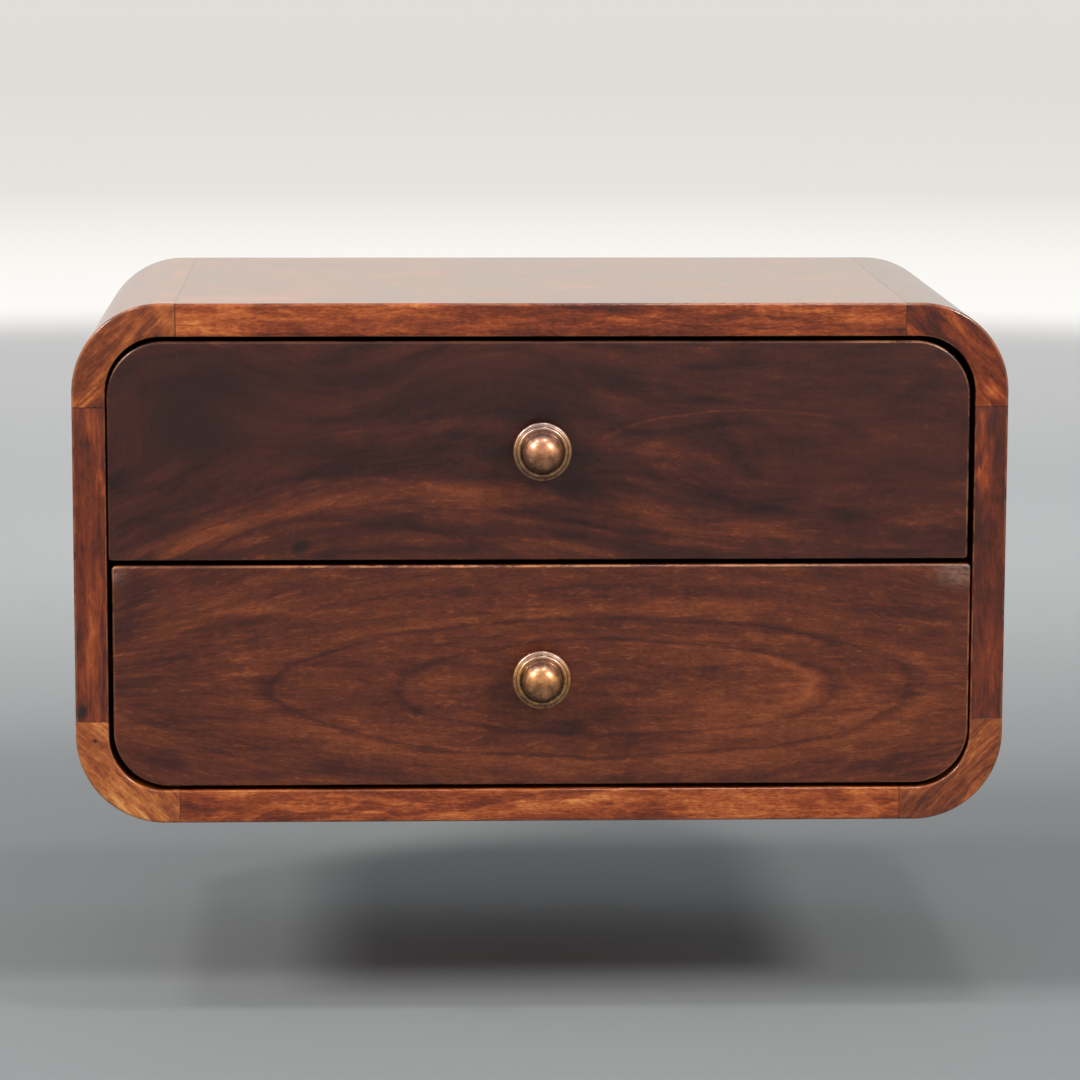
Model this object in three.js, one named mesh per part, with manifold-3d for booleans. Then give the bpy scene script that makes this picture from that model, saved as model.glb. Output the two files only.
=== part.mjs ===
// A wall-hung nightstand with two drawers, in solid wood with turned brass knobs.
// Millimetres, +Z up. The origin is the middle of the wall face, and the front looks along -Y.
//
// The case is a ring of four boards and four rounded corner blocks, held together by loose
// tongues. A plywood back lies in a rebate behind it, with a hanging rail and two keyhole plates.
// Each drawer is a dovetailed box with an applied front, and slides on two wooden runners.

import * as THREE from "three";
import { mergeVertices } from "three/addons/utils/BufferGeometryUtils.js";
import Module from "manifold-3d";

const wasm = await Module();
wasm.setup();

// Case
const caseWidth = 450;
const caseHeight = 253;
const caseDepth = 250;
const wallThickness = 16;
const cornerRadius = 43;
const cornerLeg = 7;
const caseEdge = 1.4;

// Loose tongues between the boards and the corner blocks
const tongueThickness = 4;
const tongueWidth = 16;
const tongueSetback = 18;

// Back panel in its rebate, and the hanging rail in front of it
const panelThickness = 9;
const rebateWidth = 8;
const railThickness = 16;
const railEdge = 4;

// Keyhole plates, let into the back
const plateWidth = 18;
const plateThickness = 2;
const plateCorner = 3;
const plateInset = 75;
const plateEnd = 10;
const keyholeEntryRadius = 5;
const keyholeSlotRadius = 2.6;
const keyholeTravel = 14;
const headPocketMargin = 1;

// Drawer fronts
const frontThickness = 16;
const frontRecess = 1;
const frontEdge = 1.2;
const frontOuterCorner = 27;
const frontInnerCorner = 2;
const lowerFrontHeight = 108;
const gapAbove = 2.3;
const gapBetween = 2.6;
const gapBelow = 2.1;
const gapBeside = 1.5;

// Drawer boxes
const boxSideGap = 8;
const boxCornerClearance = 3.2;
const boxRearGap = 3;
const boxSpacing = 23;
const boardThickness = 12;
const bottomThickness = 5;
const bottomRise = 8;
const bottomGrooveDepth = 5;

// Runners
const runnerHeight = 13;
const runnerReach = 5.5;
const runnerStop = 25;
const runnerNose = 4;
const runnerScrewInset = 28;

// Knobs, with heights measured from the drawer front
const knobFootRadius = 8;
const knobFootBead = 1.1;
const knobWaistRadius = 4.2;
const knobRimRadius = 14.2;
const knobRimBead = 1.4;
const knobRimHeight = 12;
const knobRingRadius = 12.4;
const knobRingBead = 1.2;
const knobRingHeight = 14.6;
const knobDomeRadius = 9.6;
const knobDomeHeight = 17.4;
const knobDomeRise = 8;
const knobBoreDepth = 11;
const upperKnobRise = 1.2;

// Screws
const machineScrew = { radius: 2, headRadius: 4, headHeight: 2.4 };
const woodScrew = { radius: 1.6, headRadius: 3.4, headHeight: 2 };
const plateScrew = { radius: 1.4, headRadius: 2.8, headHeight: 1.4 };
const screwPoint = 3;
const screwCover = 4.5;
const knobBoreSpare = 2;
const frontScrewInset = 12;
const frontScrewFromSide = 45;

// Clearances: fitGap lies between pieces that are glued or screwed tight
const fitGap = 0.2;
const panelPlay = 0.3;
const runningGap = 0.3;
const runnerPlay = 0.6;
const screwPlay = 0.2;
const overrun = 5;

// Counts and shares
const cornerSteps = 12;
const smallCornerSteps = 3;
const edgeSteps = 2;
const keyholeSteps = 16;
const knobSteps = 32;
const beadSteps = 4;
const waistSteps = 6;
const domeSteps = 7;
const screwSteps = 10;
const tailCount = 3;
const pinShare = 0.36;
const tailSlopeShare = 1 / 7;
const upperShiftShare = -0.65;
const lowerShiftShare = 0.5;
const weldTolerance = 1e-4;

// What the sizes above lead to
const openingWidth = caseWidth - 2 * wallThickness;
const openingHeight = caseHeight - 2 * wallThickness;
const openingRadius = cornerRadius - wallThickness;
const openingTop = openingHeight / 2;
const blockLength = cornerRadius + cornerLeg;
const railFront = panelThickness + fitGap + railThickness;
const plateHeight = keyholeTravel + 2 * (keyholeEntryRadius + plateEnd);
const railHeight = plateHeight + 2 * railEdge;
const frontWidth = openingWidth - 2 * gapBeside;
const upperFrontHeight = openingHeight - gapAbove - gapBetween - gapBelow - lowerFrontHeight;
const boxFront = caseDepth - frontRecess - frontThickness - fitGap;
const boxRear = railFront + boxRearGap;
const boxWidth = openingWidth - 2 * boxSideGap;
const boxInside = boxWidth - 2 * boardThickness;
const arcReach = Math.max(0, openingRadius - boxSideGap);
const boxMargin = openingRadius - Math.sqrt(openingRadius ** 2 - arcReach ** 2) + boxCornerClearance;
const boxHeight = (openingHeight - 2 * boxMargin - boxSpacing) / 2;
const bottomTop = bottomRise + bottomThickness;
const runnerWidth = boxSideGap + runnerReach;
const runnerFace = openingWidth / 2 - runnerWidth;
const runnerFrontEnd = boxFront - runnerStop - runningGap;
const runnerRearEnd = railFront + panelPlay;
const plateMiddle = openingTop - railEdge - plateHeight / 2;
const plateFromMiddle = caseWidth / 2 - plateInset;
const plateScrewRise = (plateHeight - plateEnd) / 2;
const lowerBoxFloor = boxMargin - openingTop;
const upperBoxFloor = openingTop - boxMargin - boxHeight;
const lowerFrontMiddle = gapBelow + lowerFrontHeight / 2 - openingTop;
const upperFrontMiddle = openingTop - gapAbove - upperFrontHeight / 2;

// Fasteners, with the length that leaves their cover of wood
const runnerScrew = { ...woodScrew, length: runnerWidth + wallThickness - screwCover };
const frontScrew = { ...woodScrew, length: boardThickness + frontThickness - screwCover };
const keyholeScrew = { ...plateScrew, length: railFront - screwCover };
const knobScrew = {
  ...machineScrew,
  length: boardThickness + fitGap + frontThickness + knobBoreDepth - knobBoreSpare,
};

// Materials
const finish = (color, roughness, metalness = 0) =>
  new THREE.MeshStandardMaterial({ color, roughness, metalness });
const caseWood = finish(0x8a4521, 0.3);
const frontWood = finish(0x4f2b22, 0.3);
const boxWood = finish(0xa9794a, 0.55);
const plywood = finish(0xb8946a, 0.7);
const runnerWood = finish(0xb98d5a, 0.5);
const agedBrass = finish(0x9c6a3f, 0.32, 1);
const zincSteel = finish(0xa8a9a6, 0.35, 1);

// Sides and levels, with the sign of their place on the x or the z axis
const acrossSides = [
  ["left", -1],
  ["right", 1],
];
const levels = [
  ["bottom", -1],
  ["top", 1],
];

/** Makes a solid of a closed geometry. */
function solid(geometry) {
  const bare = geometry.clone();
  bare.deleteAttribute("normal");
  bare.deleteAttribute("uv");
  const merged = mergeVertices(bare, weldTolerance);
  const mesh = new wasm.Mesh({
    numProp: 3,
    vertProperties: merged.attributes.position.array,
    triVerts: new Uint32Array(merged.index.array),
  });
  return new wasm.Manifold(mesh);
}

/** Makes a flat-shaded geometry of a solid. */
function geometryOf(made) {
  const { vertProperties, triVerts } = made.getMesh();
  const shared = new THREE.BufferGeometry();
  shared.setAttribute("position", new THREE.BufferAttribute(vertProperties, 3));
  shared.setIndex(new THREE.BufferAttribute(triVerts, 1));
  const flat = shared.toNonIndexed();
  flat.computeVertexNormals();
  return flat;
}

/** Cuts every tool from a body. */
function cut(body, tools) {
  return geometryOf(tools.reduce((made, tool) => made.subtract(solid(tool)), solid(body)));
}

/** Joins bodies that overlap. */
function fuse([first, ...others]) {
  return geometryOf(others.reduce((made, other) => made.add(solid(other)), solid(first)));
}

/** Keeps what a body and a region share. */
function within(body, region) {
  return geometryOf(solid(body).intersect(solid(region)));
}

/** A copy of a geometry, moved. */
function moved(geometry, x, y, z) {
  return geometry.clone().translate(x, y, z);
}

/** Names a piece, gives it its material and puts it in its place. */
function piece(name, geometry, material, [x, y, z] = [0, 0, 0]) {
  const mesh = new THREE.Mesh(geometry, material);
  mesh.name = name;
  mesh.position.set(x, y, z);
  return mesh;
}

/** Puts pieces and lists of pieces into one group. */
function grouped(...members) {
  return new THREE.Group().add(...members.flat());
}

/** A block between two values on each axis, in either order. */
function block([x0, x1], [y0, y1], [z0, z1]) {
  const box = new THREE.BoxGeometry(Math.abs(x1 - x0), Math.abs(y1 - y0), Math.abs(z1 - z0));
  return box.translate((x0 + x1) / 2, (y0 + y1) / 2, (z0 + z1) / 2);
}

/** Points on an arc, from one angle to another in quarter turns. */
function arc(x, y, radius, fromQuarter, toQuarter, steps, rise = radius) {
  return Array.from({ length: steps + 1 }, (_, i) => {
    const angle = (fromQuarter + ((toQuarter - fromQuarter) * i) / steps) * (Math.PI / 2);
    return [x + radius * Math.cos(angle), y + rise * Math.sin(angle)];
  });
}

/** A shape through a list of [x, y] points. */
function shapeThrough(points) {
  return new THREE.Shape(points.map(([x, y]) => new THREE.Vector2(x, y)));
}

const largeCorner = (radius) => ({ radius, steps: cornerSteps });
const smallCorner = (radius) => ({ radius, steps: smallCornerSteps });

/** A rectangle about the origin, with its own rounding at the upper and the lower corners. */
function roundedRectangle(width, height, upper, lower = upper) {
  const [x, z] = [width / 2, height / 2];
  const corners = [
    [upper, 1, 1],
    [upper, -1, 1],
    [lower, -1, -1],
    [lower, 1, -1],
  ];
  return shapeThrough(
    corners.flatMap(([{ radius, steps }, sideX, sideZ], turn) =>
      arc(sideX * (x - radius), sideZ * (z - radius), radius, turn, turn + 1, steps),
    ),
  );
}

/** A circle about the origin. */
function circle(radius) {
  return shapeThrough(arc(0, 0, radius, 0, 4, keyholeSteps).slice(1));
}

/** An upright slot about the origin, with round ends about two centres. */
function roundEndedSlot(radius, travel) {
  return shapeThrough([
    ...arc(0, travel / 2, radius, 0, 2, keyholeSteps / 2),
    ...arc(0, -travel / 2, radius, 2, 4, keyholeSteps / 2),
  ]);
}

const forwards = new THREE.Matrix4().makeBasis(
  new THREE.Vector3(1, 0, 0),
  new THREE.Vector3(0, 0, 1),
  new THREE.Vector3(0, -1, 0),
);
const sideways = new THREE.Matrix4().makeBasis(
  new THREE.Vector3(0, 1, 0),
  new THREE.Vector3(0, 0, 1),
  new THREE.Vector3(1, 0, 0),
);

/** Extrudes an outline drawn in x and z towards the front, from y = from, with rounded edges. */
function extrudeForward(outline, from, length, edge = 0) {
  const geometry = new THREE.ExtrudeGeometry(outline, {
    depth: length - 2 * edge,
    bevelEnabled: edge > 0,
    bevelThickness: edge,
    bevelSize: edge,
    bevelOffset: -edge,
    bevelSegments: edgeSteps,
  });
  return geometry.applyMatrix4(forwards).translate(0, from - edge, 0);
}

/** Extrudes an outline drawn in y and z along x, between two values of x. */
function extrudeSideways(outline, [x0, x1]) {
  const geometry = new THREE.ExtrudeGeometry(outline, { depth: x1 - x0, bevelEnabled: false });
  return geometry.applyMatrix4(sideways).translate(x0, 0, 0);
}

/** Revolves a profile of [radius, height] points about the Y axis, with height along -y. */
function turned(profile, steps) {
  const points = profile.map(([radius, height]) => new THREE.Vector2(radius, -height));
  return new THREE.LatheGeometry(points.reverse(), steps);
}

/** A countersunk screw along -y, with its head's face at y = 0. */
function countersunkScrew({ radius, headRadius, headHeight, length }) {
  const head = [
    [0, 0],
    [headRadius, 0],
    [radius, headHeight],
  ];
  return turned([...head, [radius, length - screwPoint], [0, length]], screwSteps);
}

/** The hole of a countersunk screw, open behind its head. */
function countersunkHole({ radius, headRadius, headHeight, length }) {
  const [shank, head, end] = [radius + screwPlay, headRadius + screwPlay, length + screwPlay];
  const mouth = [
    [0, -overrun],
    [head, -overrun],
    [head, 0],
    [shank, headHeight],
  ];
  return turned([...mouth, [shank, end], [0, end]], screwSteps);
}

/** A pan-head machine screw along -y, with the seat of its head at y = 0. */
function panHeadScrew({ radius, headRadius, headHeight, length }) {
  const round = headHeight / 2;
  const head = [
    [0, -headHeight],
    ...arc(headRadius - round, round - headHeight, round, -1, 0, edgeSteps),
    [headRadius, 0],
  ];
  return turned([...head, [radius, 0], [radius, length], [0, length]], screwSteps);
}

/** Points a fastener or its hole along +x for side 1, or along -x for side -1. */
function pointSideways(geometry, side) {
  return geometry.clone().rotateZ((side * Math.PI) / 2);
}

/** The case ring with rounded edges and the rebate for its back, before it is split. */
function wholeRing() {
  const outline = roundedRectangle(caseWidth, caseHeight, largeCorner(cornerRadius));
  outline.holes.push(roundedRectangle(openingWidth, openingHeight, largeCorner(openingRadius)));
  const rebate = roundedRectangle(
    openingWidth + 2 * rebateWidth,
    openingHeight + 2 * rebateWidth,
    largeCorner(openingRadius + rebateWidth),
  );
  const ring = extrudeForward(outline, 0, caseDepth, caseEdge);
  return cut(ring, [extrudeForward(rebate, overrun, panelThickness + overrun)]);
}

/** A loose tongue about the point [x, z] of a joint, or with play the mortise that it fits. */
function tongue([x, z], lengthways, play = 0) {
  const [long, thick] = [tongueWidth / 2 + play, tongueThickness / 2 + play];
  const [halfX, halfZ] = lengthways ? [long, thick] : [thick, long];
  const [front, rear] = [tongueSetback - caseDepth - play, play - panelThickness - tongueSetback];
  return block([x - halfX, x + halfX], [front, rear], [z - halfZ, z + halfZ]);
}

const jointX = caseWidth / 2 - blockLength;
const jointZ = caseHeight / 2 - blockLength;
const wallMiddleX = (caseWidth - wallThickness) / 2;
const wallMiddleZ = (caseHeight - wallThickness) / 2;
const both = (side, [near, far]) => [side * near, side * far];

const tongueJoints = levels.flatMap(([level, up]) =>
  acrossSides.flatMap(([label, side]) => [
    { name: `tongue_${level}_board_${label}`, at: [side * jointX, up * wallMiddleZ], lengthways: true },
    { name: `tongue_${label}_board_${level}`, at: [side * wallMiddleX, up * jointZ], lengthways: false },
  ]),
);
const runnerMiddles = [
  ["lower", lowerBoxFloor + boxHeight / 2],
  ["upper", upperBoxFloor + boxHeight / 2],
];
const runnerScrewPlaces = [
  ["front", runnerScrewInset - runnerFrontEnd],
  ["rear", -runnerRearEnd - runnerScrewInset],
];

/** The four boards, four corner blocks and eight loose tongues of the case. */
function makeRing() {
  const ring = wholeRing();
  const mortises = tongueJoints.map(({ at, lengthways }) => tongue(at, lengthways, fitGap));
  const fullDepth = [-caseDepth - overrun, overrun];
  const section = (name, rangeX, rangeZ, cuts = []) =>
    piece(name, cut(within(ring, block(rangeX, fullDepth, rangeZ)), [...mortises, ...cuts]), caseWood);
  const wallX = [openingWidth / 2 - overrun, caseWidth / 2 + overrun];
  const wallZ = [openingTop - overrun, caseHeight / 2 + overrun];
  const spanX = [fitGap - jointX, jointX - fitGap];
  const spanZ = [fitGap - jointZ, jointZ - fitGap];
  const cornerX = [jointX, caseWidth / 2 + overrun];
  const cornerZ = [jointZ, caseHeight / 2 + overrun];
  const levelBoards = levels.map(([level, up]) => section(`${level}_board`, spanX, both(up, wallZ)));
  const uprightBoards = acrossSides.map(([label, side]) => {
    const hole = pointSideways(countersunkHole(runnerScrew), side);
    const holes = runnerMiddles.flatMap(([, z]) =>
      runnerScrewPlaces.map(([, y]) => moved(hole, side * runnerFace, y, z)),
    );
    return section(`${label}_board`, both(side, wallX), spanZ, holes);
  });
  const blocks = levels.flatMap(([level, up]) =>
    acrossSides.map(([label, side]) =>
      section(`corner_block_${level}_${label}`, both(side, cornerX), both(up, cornerZ)),
    ),
  );
  const tongues = tongueJoints.map(({ name, at, lengthways }) =>
    piece(name, tongue(at, lengthways), runnerWood),
  );
  return grouped(levelBoards, uprightBoards, blocks, tongues);
}

/** A pocket for the wall screw's head, from the wall face through the back panel. */
function headPocket() {
  const outline = roundEndedSlot(keyholeEntryRadius + headPocketMargin, keyholeTravel);
  return extrudeForward(outline, overrun, panelThickness + 2 * overrun);
}

/** The recess in the back panel that takes a keyhole plate flush. */
function plateRecess() {
  const [width, height] = [plateWidth + 2 * fitGap, plateHeight + 2 * fitGap];
  const outline = roundedRectangle(width, height, smallCorner(plateCorner));
  return extrudeForward(outline, overrun, plateThickness + fitGap + overrun);
}

const plateScrewPlaces = [
  ["lower", -plateScrewRise],
  ["upper", plateScrewRise],
];

/** A steel plate with a keyhole: a round entry below, and a slot above it for the screw's shank. */
function keyholePlate() {
  const outline = roundedRectangle(plateWidth, plateHeight, smallCorner(plateCorner));
  const through = plateThickness + 2 * overrun;
  const entry = moved(extrudeForward(circle(keyholeEntryRadius), overrun, through), 0, 0, -keyholeTravel / 2);
  const slot = extrudeForward(roundEndedSlot(keyholeSlotRadius, keyholeTravel), overrun, through);
  const holes = plateScrewPlaces.map(([, rise]) => moved(countersunkHole(keyholeScrew), 0, 0, rise));
  return cut(extrudeForward(outline, 0, plateThickness), [entry, slot, ...holes]);
}

/** The plywood back, the hanging rail, and two keyhole plates with their screws. */
function makeBack() {
  const panelGrow = 2 * (rebateWidth - panelPlay);
  const panelRadius = openingRadius + rebateWidth - panelPlay;
  const [panelWidth, panelHeight] = [openingWidth + panelGrow, openingHeight + panelGrow];
  const panelOutline = roundedRectangle(panelWidth, panelHeight, largeCorner(panelRadius));
  const railOutline = roundedRectangle(
    openingWidth - 2 * fitGap,
    railHeight,
    largeCorner(openingRadius - fitGap),
    smallCorner(caseEdge),
  );
  const seats = acrossSides.map(([, side]) => [side * plateFromMiddle, 0, plateMiddle]);
  const holes = seats.flatMap(([x, y, z]) =>
    plateScrewPlaces.map(([, rise]) => moved(countersunkHole(keyholeScrew), x, y, z + rise)),
  );
  const recesses = seats.flatMap((seat) => [moved(plateRecess(), ...seat), moved(headPocket(), ...seat)]);
  const panel = cut(extrudeForward(panelOutline, 0, panelThickness), [...recesses, ...holes]);
  const railBlank = extrudeForward(railOutline, -panelThickness - fitGap, railThickness);
  const rail = cut(moved(railBlank, 0, 0, openingTop - fitGap - railHeight / 2), holes);
  const plates = acrossSides.flatMap(([label, side]) => [
    piece(`keyhole_plate_${label}`, keyholePlate(), zincSteel, [side * plateFromMiddle, 0, plateMiddle]),
    ...plateScrewPlaces.map(([end, rise]) => {
      const place = [side * plateFromMiddle, 0, plateMiddle + rise];
      return piece(`keyhole_screw_${label}_${end}`, countersunkScrew(keyholeScrew), zincSteel, place);
    }),
  ]);
  return grouped(piece("back_panel", panel, plywood), piece("hanging_rail", rail, runnerWood), plates);
}

/** A wooden runner with a tapered nose, on one side of the case and about z = 0. */
function runnerBar(side) {
  const [half, slim] = [runnerHeight / 2, (runnerHeight - runnerNose) / 2];
  const [nose, full, rear] = [-runnerFrontEnd, runnerNose - runnerFrontEnd, -runnerRearEnd];
  const outline = shapeThrough([
    [nose, -slim],
    [full, -half],
    [rear, -half],
    [rear, half],
    [full, half],
    [nose, slim],
  ]);
  const range = both(side, [runnerFace, openingWidth / 2 - fitGap]);
  const bar = extrudeSideways(outline, [Math.min(...range), Math.max(...range)]);
  const hole = pointSideways(countersunkHole(runnerScrew), side);
  return cut(
    bar,
    runnerScrewPlaces.map(([, y]) => moved(hole, side * runnerFace, y, 0)),
  );
}

/** The four runners on the upright boards, with their screws. */
function makeRunners() {
  const pieces = runnerMiddles.flatMap(([level, z]) =>
    acrossSides.flatMap(([label, side]) => [
      piece(`runner_${level}_${label}`, runnerBar(side), runnerWood, [0, 0, z]),
      ...runnerScrewPlaces.map(([end, y]) => {
        const fastener = pointSideways(countersunkScrew(runnerScrew), side);
        return piece(`runner_screw_${level}_${label}_${end}`, fastener, zincSteel, [side * runnerFace, y, z]);
      }),
    ]),
  );
  return grouped(pieces);
}

/** The dovetails at one end of a drawer side, or with play the sockets that they fit. */
function dovetails([rootY, endY], across, play = 0) {
  const outwards = Math.sign(endY - rootY);
  const pitch = boxHeight / tailCount;
  const rootHalf = (pitch * (1 - pinShare)) / 2;
  const halfAt = (y) => rootHalf + outwards * (y - rootY) * tailSlopeShare + play;
  const from = rootY - outwards * overrun;
  const to = endY + (play > 0 ? outwards * overrun : 0);
  return Array.from({ length: tailCount }, (_, i) => {
    const middle = pitch * (i + 1 / 2);
    const lower = [from, to].map((y) => [y, middle - halfAt(y)]);
    const upper = [to, from].map((y) => [y, middle + halfAt(y)]);
    return extrudeSideways(shapeThrough([...lower, ...upper]), across);
  });
}

const innerFront = boardThickness - boxFront;
const innerRear = -boxRear - boardThickness;
const frontJoint = [innerFront, -boxFront];
const rearJoint = [innerRear, -boxRear];

/** The drawer's bottom with its edges in the grooves, or with play the space of the grooves. */
function bottomPanel(play = 0) {
  const reach = bottomGrooveDepth - (play > 0 ? 0 : panelPlay);
  const halfX = boxInside / 2 + reach;
  return block([-halfX, halfX], [innerFront - reach, innerRear + reach], [bottomRise - play, bottomTop + play]);
}

/** A drawer side with dovetails at both ends and a stopped groove for its runner. */
function drawerSide(side) {
  const [inner, outer] = [boxInside / 2, boxWidth / 2];
  const across = side > 0 ? [inner, outer] : [-outer, -inner];
  const web = block(across, [innerFront + fitGap, innerRear - fitGap], [0, boxHeight]);
  const blank = fuse([web, ...dovetails(frontJoint, across), ...dovetails(rearJoint, across)]);
  const half = runnerHeight / 2 + runningGap;
  const groove = block(
    both(side, [outer - runnerReach - runnerPlay, outer + overrun]),
    [runnerStop - boxFront, overrun - boxRear],
    [boxHeight / 2 - half, boxHeight / 2 + half],
  );
  return cut(blank, [groove, bottomPanel(fitGap)]);
}

/** A board across the box, with the sockets of its dovetails and any holes. */
function crossBoard(joint, holes = []) {
  const blank = block([-boxWidth / 2, boxWidth / 2], joint, [0, boxHeight]);
  const [near, far] = [boxInside / 2 - fitGap, boxWidth / 2 + overrun];
  const sockets = [...dovetails(joint, [near, far], fitGap), ...dovetails(joint, [-far, -near], fitGap)];
  return cut(blank, [...sockets, bottomPanel(fitGap), ...holes]);
}

/** A turned knob with a waisted foot, a rim, a ring and a dome, along -y from its foot. */
function knob() {
  const bore = machineScrew.radius + screwPlay;
  const [footRadius, footTop] = [knobFootRadius - knobFootBead, 2 * knobFootBead];
  const [rimRadius, rimBase] = [knobRimRadius - knobRimBead, knobRimHeight - knobRimBead];
  const ringTop = knobRingHeight + knobRingBead;
  const waist = new THREE.CubicBezierCurve(
    new THREE.Vector2(footRadius, footTop),
    new THREE.Vector2(knobWaistRadius, footTop),
    new THREE.Vector2(knobWaistRadius, rimBase),
    new THREE.Vector2(rimRadius, rimBase),
  );
  const waistPoints = waist.getPoints(waistSteps).slice(1, -1);
  const domeStart = Math.asin((ringTop - knobDomeHeight) / knobDomeRise) / (Math.PI / 2);
  const dome = arc(0, knobDomeHeight, knobDomeRadius, domeStart, 1, domeSteps, knobDomeRise);
  const profile = [
    [0, knobBoreDepth],
    [bore, knobBoreDepth],
    [bore, 0],
    ...arc(footRadius, knobFootBead, knobFootBead, -1, 1, beadSteps),
    ...waistPoints.map(({ x, y }) => [x, y]),
    ...arc(rimRadius, knobRimHeight, knobRimBead, -1, 1, beadSteps),
    ...arc(knobRingRadius - knobRingBead, knobRingHeight, knobRingBead, 0, 1, beadSteps / 2),
    ...dome.slice(0, -1),
    [0, knobDomeHeight + knobDomeRise],
  ];
  return turned(profile, knobSteps);
}

/** One drawer: its dovetailed box, its applied front and its knob, with their screws. */
function makeDrawer({ level, floor, frontMiddle, frontHeight, corners, shiftShare, knobZ }) {
  const frontFace = frontRecess - caseDepth;
  const fixings = acrossSides.flatMap(([label, side]) => [
    {
      name: `${level}_front_screw_${label}_bottom`,
      place: [side * (boxInside / 2 - frontScrewFromSide), innerFront, floor + bottomTop + frontScrewInset],
    },
    {
      name: `${level}_front_screw_${label}_top`,
      place: [side * (boxInside / 2 - frontScrewFromSide), innerFront, floor + boxHeight - frontScrewInset],
    },
  ]);
  const stack = boardThickness + fitGap + frontThickness + 2 * overrun;
  const knobHole = extrudeForward(circle(machineScrew.radius + screwPlay), innerFront + overrun, stack);
  const holes = fixings.map(({ place }) => moved(countersunkHole(frontScrew), ...place));
  holes.push(moved(knobHole, 0, 0, knobZ));
  const holesFromFloor = holes.map((hole) => moved(hole, 0, 0, -floor));
  const faceOutline = roundedRectangle(frontWidth, frontHeight, ...corners);
  const faceBlank = extrudeForward(faceOutline, frontFace + frontThickness, frontThickness, frontEdge);
  const face = cut(moved(faceBlank, shiftShare * gapBeside, 0, frontMiddle), holes);
  const base = [0, 0, floor];
  return grouped(
    piece(`${level}_drawer_face`, face, frontWood),
    piece(`${level}_drawer_front`, crossBoard(frontJoint, holesFromFloor), boxWood, base),
    piece(`${level}_drawer_back`, crossBoard(rearJoint), boxWood, base),
    acrossSides.map(([label, side]) => piece(`${level}_drawer_side_${label}`, drawerSide(side), boxWood, base)),
    piece(`${level}_drawer_bottom`, bottomPanel(), plywood, base),
    piece(`${level}_knob`, knob(), agedBrass, [0, frontFace - fitGap, knobZ]),
    piece(`${level}_knob_screw`, panHeadScrew(knobScrew), zincSteel, [0, innerFront + fitGap, knobZ]),
    fixings.map(({ name, place }) => piece(name, countersunkScrew(frontScrew), zincSteel, place)),
  );
}

const nightstand = grouped(
  makeRing(),
  makeBack(),
  makeRunners(),
  makeDrawer({
    level: "upper",
    floor: upperBoxFloor,
    frontMiddle: upperFrontMiddle,
    frontHeight: upperFrontHeight,
    corners: [largeCorner(frontOuterCorner), smallCorner(frontInnerCorner)],
    shiftShare: upperShiftShare,
    knobZ: upperFrontMiddle + upperKnobRise,
  }),
  makeDrawer({
    level: "lower",
    floor: lowerBoxFloor,
    frontMiddle: lowerFrontMiddle,
    frontHeight: lowerFrontHeight,
    corners: [smallCorner(frontInnerCorner), largeCorner(frontOuterCorner)],
    shiftShare: lowerShiftShare,
    knobZ: lowerFrontMiddle,
  }),
);

export default nightstand;
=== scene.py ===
"""A wall-hung nightstand with two drawers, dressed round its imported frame.

The case ring, the drawer faces, the knobs and the screws are fine surfaces of their own. The
dovetailed boxes, the runners, the back and the keyhole plates keep their frame shapes, with softened
arrises. Lengths in the tables are millimetres, and meshes are in metres.
"""

import logging
import math
from collections.abc import Callable, Sequence
from dataclasses import dataclass
from enum import Enum
from functools import partial
from typing import Any, ClassVar

import bmesh
import bpy
import numpy as np
from mathutils import Matrix, Vector


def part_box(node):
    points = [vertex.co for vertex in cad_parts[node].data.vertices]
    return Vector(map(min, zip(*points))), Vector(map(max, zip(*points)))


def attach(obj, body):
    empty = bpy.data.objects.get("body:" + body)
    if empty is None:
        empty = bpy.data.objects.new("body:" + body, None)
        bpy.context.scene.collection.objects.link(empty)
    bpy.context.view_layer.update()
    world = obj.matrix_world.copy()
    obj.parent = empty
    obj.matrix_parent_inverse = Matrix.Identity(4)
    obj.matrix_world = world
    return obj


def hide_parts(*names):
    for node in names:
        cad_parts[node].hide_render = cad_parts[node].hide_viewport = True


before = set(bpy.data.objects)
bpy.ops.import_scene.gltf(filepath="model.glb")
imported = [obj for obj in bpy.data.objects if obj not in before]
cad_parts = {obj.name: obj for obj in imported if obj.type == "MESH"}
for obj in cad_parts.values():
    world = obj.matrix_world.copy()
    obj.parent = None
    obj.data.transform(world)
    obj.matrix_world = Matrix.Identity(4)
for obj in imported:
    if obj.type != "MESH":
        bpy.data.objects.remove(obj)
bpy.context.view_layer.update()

MM = 0.001
WELD = 1e-6
CAD_WELD = 0.01 * MM
FLAT_BELOW = math.radians(1)
SMOOTH_BELOW = math.radians(32)
ALONG_Y = (0.0, 1.0, 0.0)
ALONG_Z = (0.0, 0.0, 1.0)
ON_FRONT = (1.0, 0.0, 1.0)
FORWARDS = Vector((0, -1, 0))

log = logging.getLogger("nightstand")

Colour = tuple[int, int, int]
Span = tuple[float, float]
Triple = tuple[float, float, float]
Points = tuple[Span, ...]
Stops = Sequence[tuple[float, Colour]]
Bands = tuple[Span, ...]
Socket = bpy.types.NodeSocket
Material = bpy.types.Material
Rail = Callable[[np.ndarray, float], np.ndarray]
Values = dict[str, np.ndarray]


def paint(colour: Colour) -> tuple[float, float, float, float]:
    """Turns an sRGB colour of 0 to 255 into the linear colour that a socket takes.

    Args:
        colour: Red, green and blue.

    Returns:
        Linear red, green, blue and a full alpha.
    """
    share = np.asarray(colour, float) / 255.0
    linear = np.where(share <= 0.04045, share / 12.92, ((share + 0.055) / 1.055) ** 2.4)
    return (*linear.tolist(), 1.0)


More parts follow.
